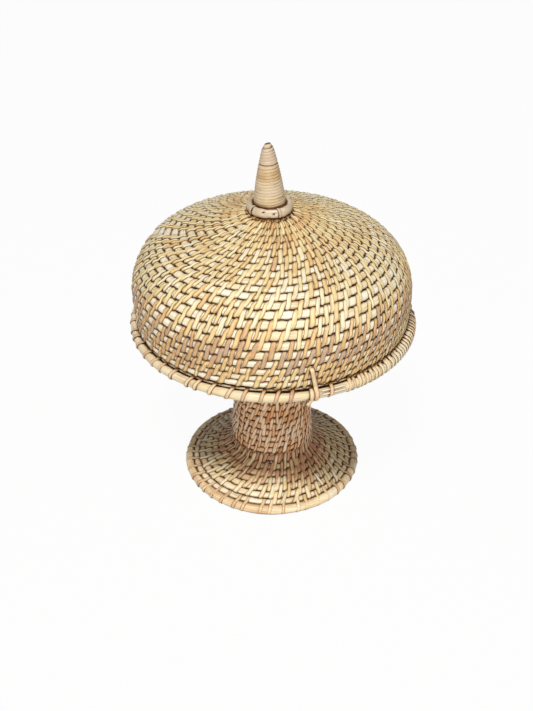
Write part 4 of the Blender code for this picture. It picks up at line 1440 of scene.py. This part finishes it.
def make_collar():
    azimuth = np.linspace(0, TURN, COLLAR_COLUMNS + 1)
    angle = np.arange(COLLAR_SIDES) * TURN / COLLAR_SIDES
    around, about = np.meshgrid(azimuth, angle, indexing="ij")
    ripple = 1 + 0.05 * np.sin(5 * around + 1.0) + 0.04 * np.sin(13 * around + 3 * about)
    dent = np.zeros_like(around)
    for place, level in np.radians(COLLAR_HOLES):
        turned = (around - place + math.pi) % TURN - math.pi
        off = np.hypot(turned * COLLAR_RADIUS, (about - level) * COLLAR_TUBE)
        dent = np.maximum(dent, 1 - smooth(off, HOLE_FLOOR, HOLE_EDGE))
    reach = COLLAR_TUBE * ripple - HOLE_DEPTH * dent
    radius = COLLAR_RADIUS + reach * COLLAR_FLATNESS * np.cos(about)
    height = COLLAR_HEIGHT + reach * np.sin(about)
    places = leaned(spun(np.stack([radius, height], axis=-1), around))
    tone = 0.35 + 0.2 * np.sin(3 * around + 0.5) * np.sin(around)
    # Painted shade in the holes: the deeper the dent, the nearer the colour to the near-black hole
    # brown.
    ring = rolled("collar_fibre_ring", places, tone, 0.95 * dent, CANE_CREASE, closed=True)
    dressed(ring, COLLAR_FIBRE, LID, "collar_fibre", "collar_ring")


make_collar()
STITCH_REACH, STITCH_WIDTH, STITCH_THICK = COLLAR_TUBE * 1.03, 0.0030, 0.0006
for label, place in (("front", -80), ("left", -160), ("back", 55)):
    stops = round_stops(COLLAR_RADIUS, COLLAR_HEIGHT, STITCH_REACH, np.linspace(-30, 120, 9))
    table, turn = np.array(stops), math.radians(place)
    path, outward = leaned(spun(table[:, :2], turn)), facing(np.radians(table[:, 2]), turn)
    name = "collar_stitch_" + label
    stitch = strand_skin(name, path, outward, STITCH_WIDTH, STITCH_THICK, 0.5)
    dressed(stitch, COLLAR_FIBRE, LID, "tie_peel", "collar_tie_" + label)

# %% [markdown]
# Under the crown, where nobody looks, the peg is held by a knot: a short strand wound nearly two and
# a half times round it.

# %% Crown knot
KNOT_RADIUS, KNOT_TUBE, KNOT_TURNS, KNOT_STEPS = 0.0090, 0.0020, 2.4, 100
KNOT_HEIGHT, KNOT_CLIMB, KNOT_WAVER = middle_height("finial_knot"), 0.0024, 0.0008


def make_knot():
    turn = np.linspace(0, KNOT_TURNS * TURN, KNOT_STEPS)
    radius = KNOT_RADIUS + KNOT_WAVER * np.sin(turn * 0.42)
    height = KNOT_HEIGHT - KNOT_CLIMB / 2 + KNOT_CLIMB * np.linspace(0, 1, KNOT_STEPS)
    flat = np.stack([radius, height], axis=-1)
    half = KNOT_TUBE * ends_thinned(KNOT_STEPS, 0.5, 5)
    tone = np.full(KNOT_STEPS, 0.5)
    knot = bent_cane("crown_knot", flat, turn, half, 10, tone, leaned, flatness=0.8)
    dressed(knot, STRAND, LID, "tie_peel", "finial_knot")


make_knot()

# %% [markdown]
# Last, the view transform stays plain, so that colours come out as written.

# %% Finish
bpy.context.scene.view_settings.view_transform = "Standard"
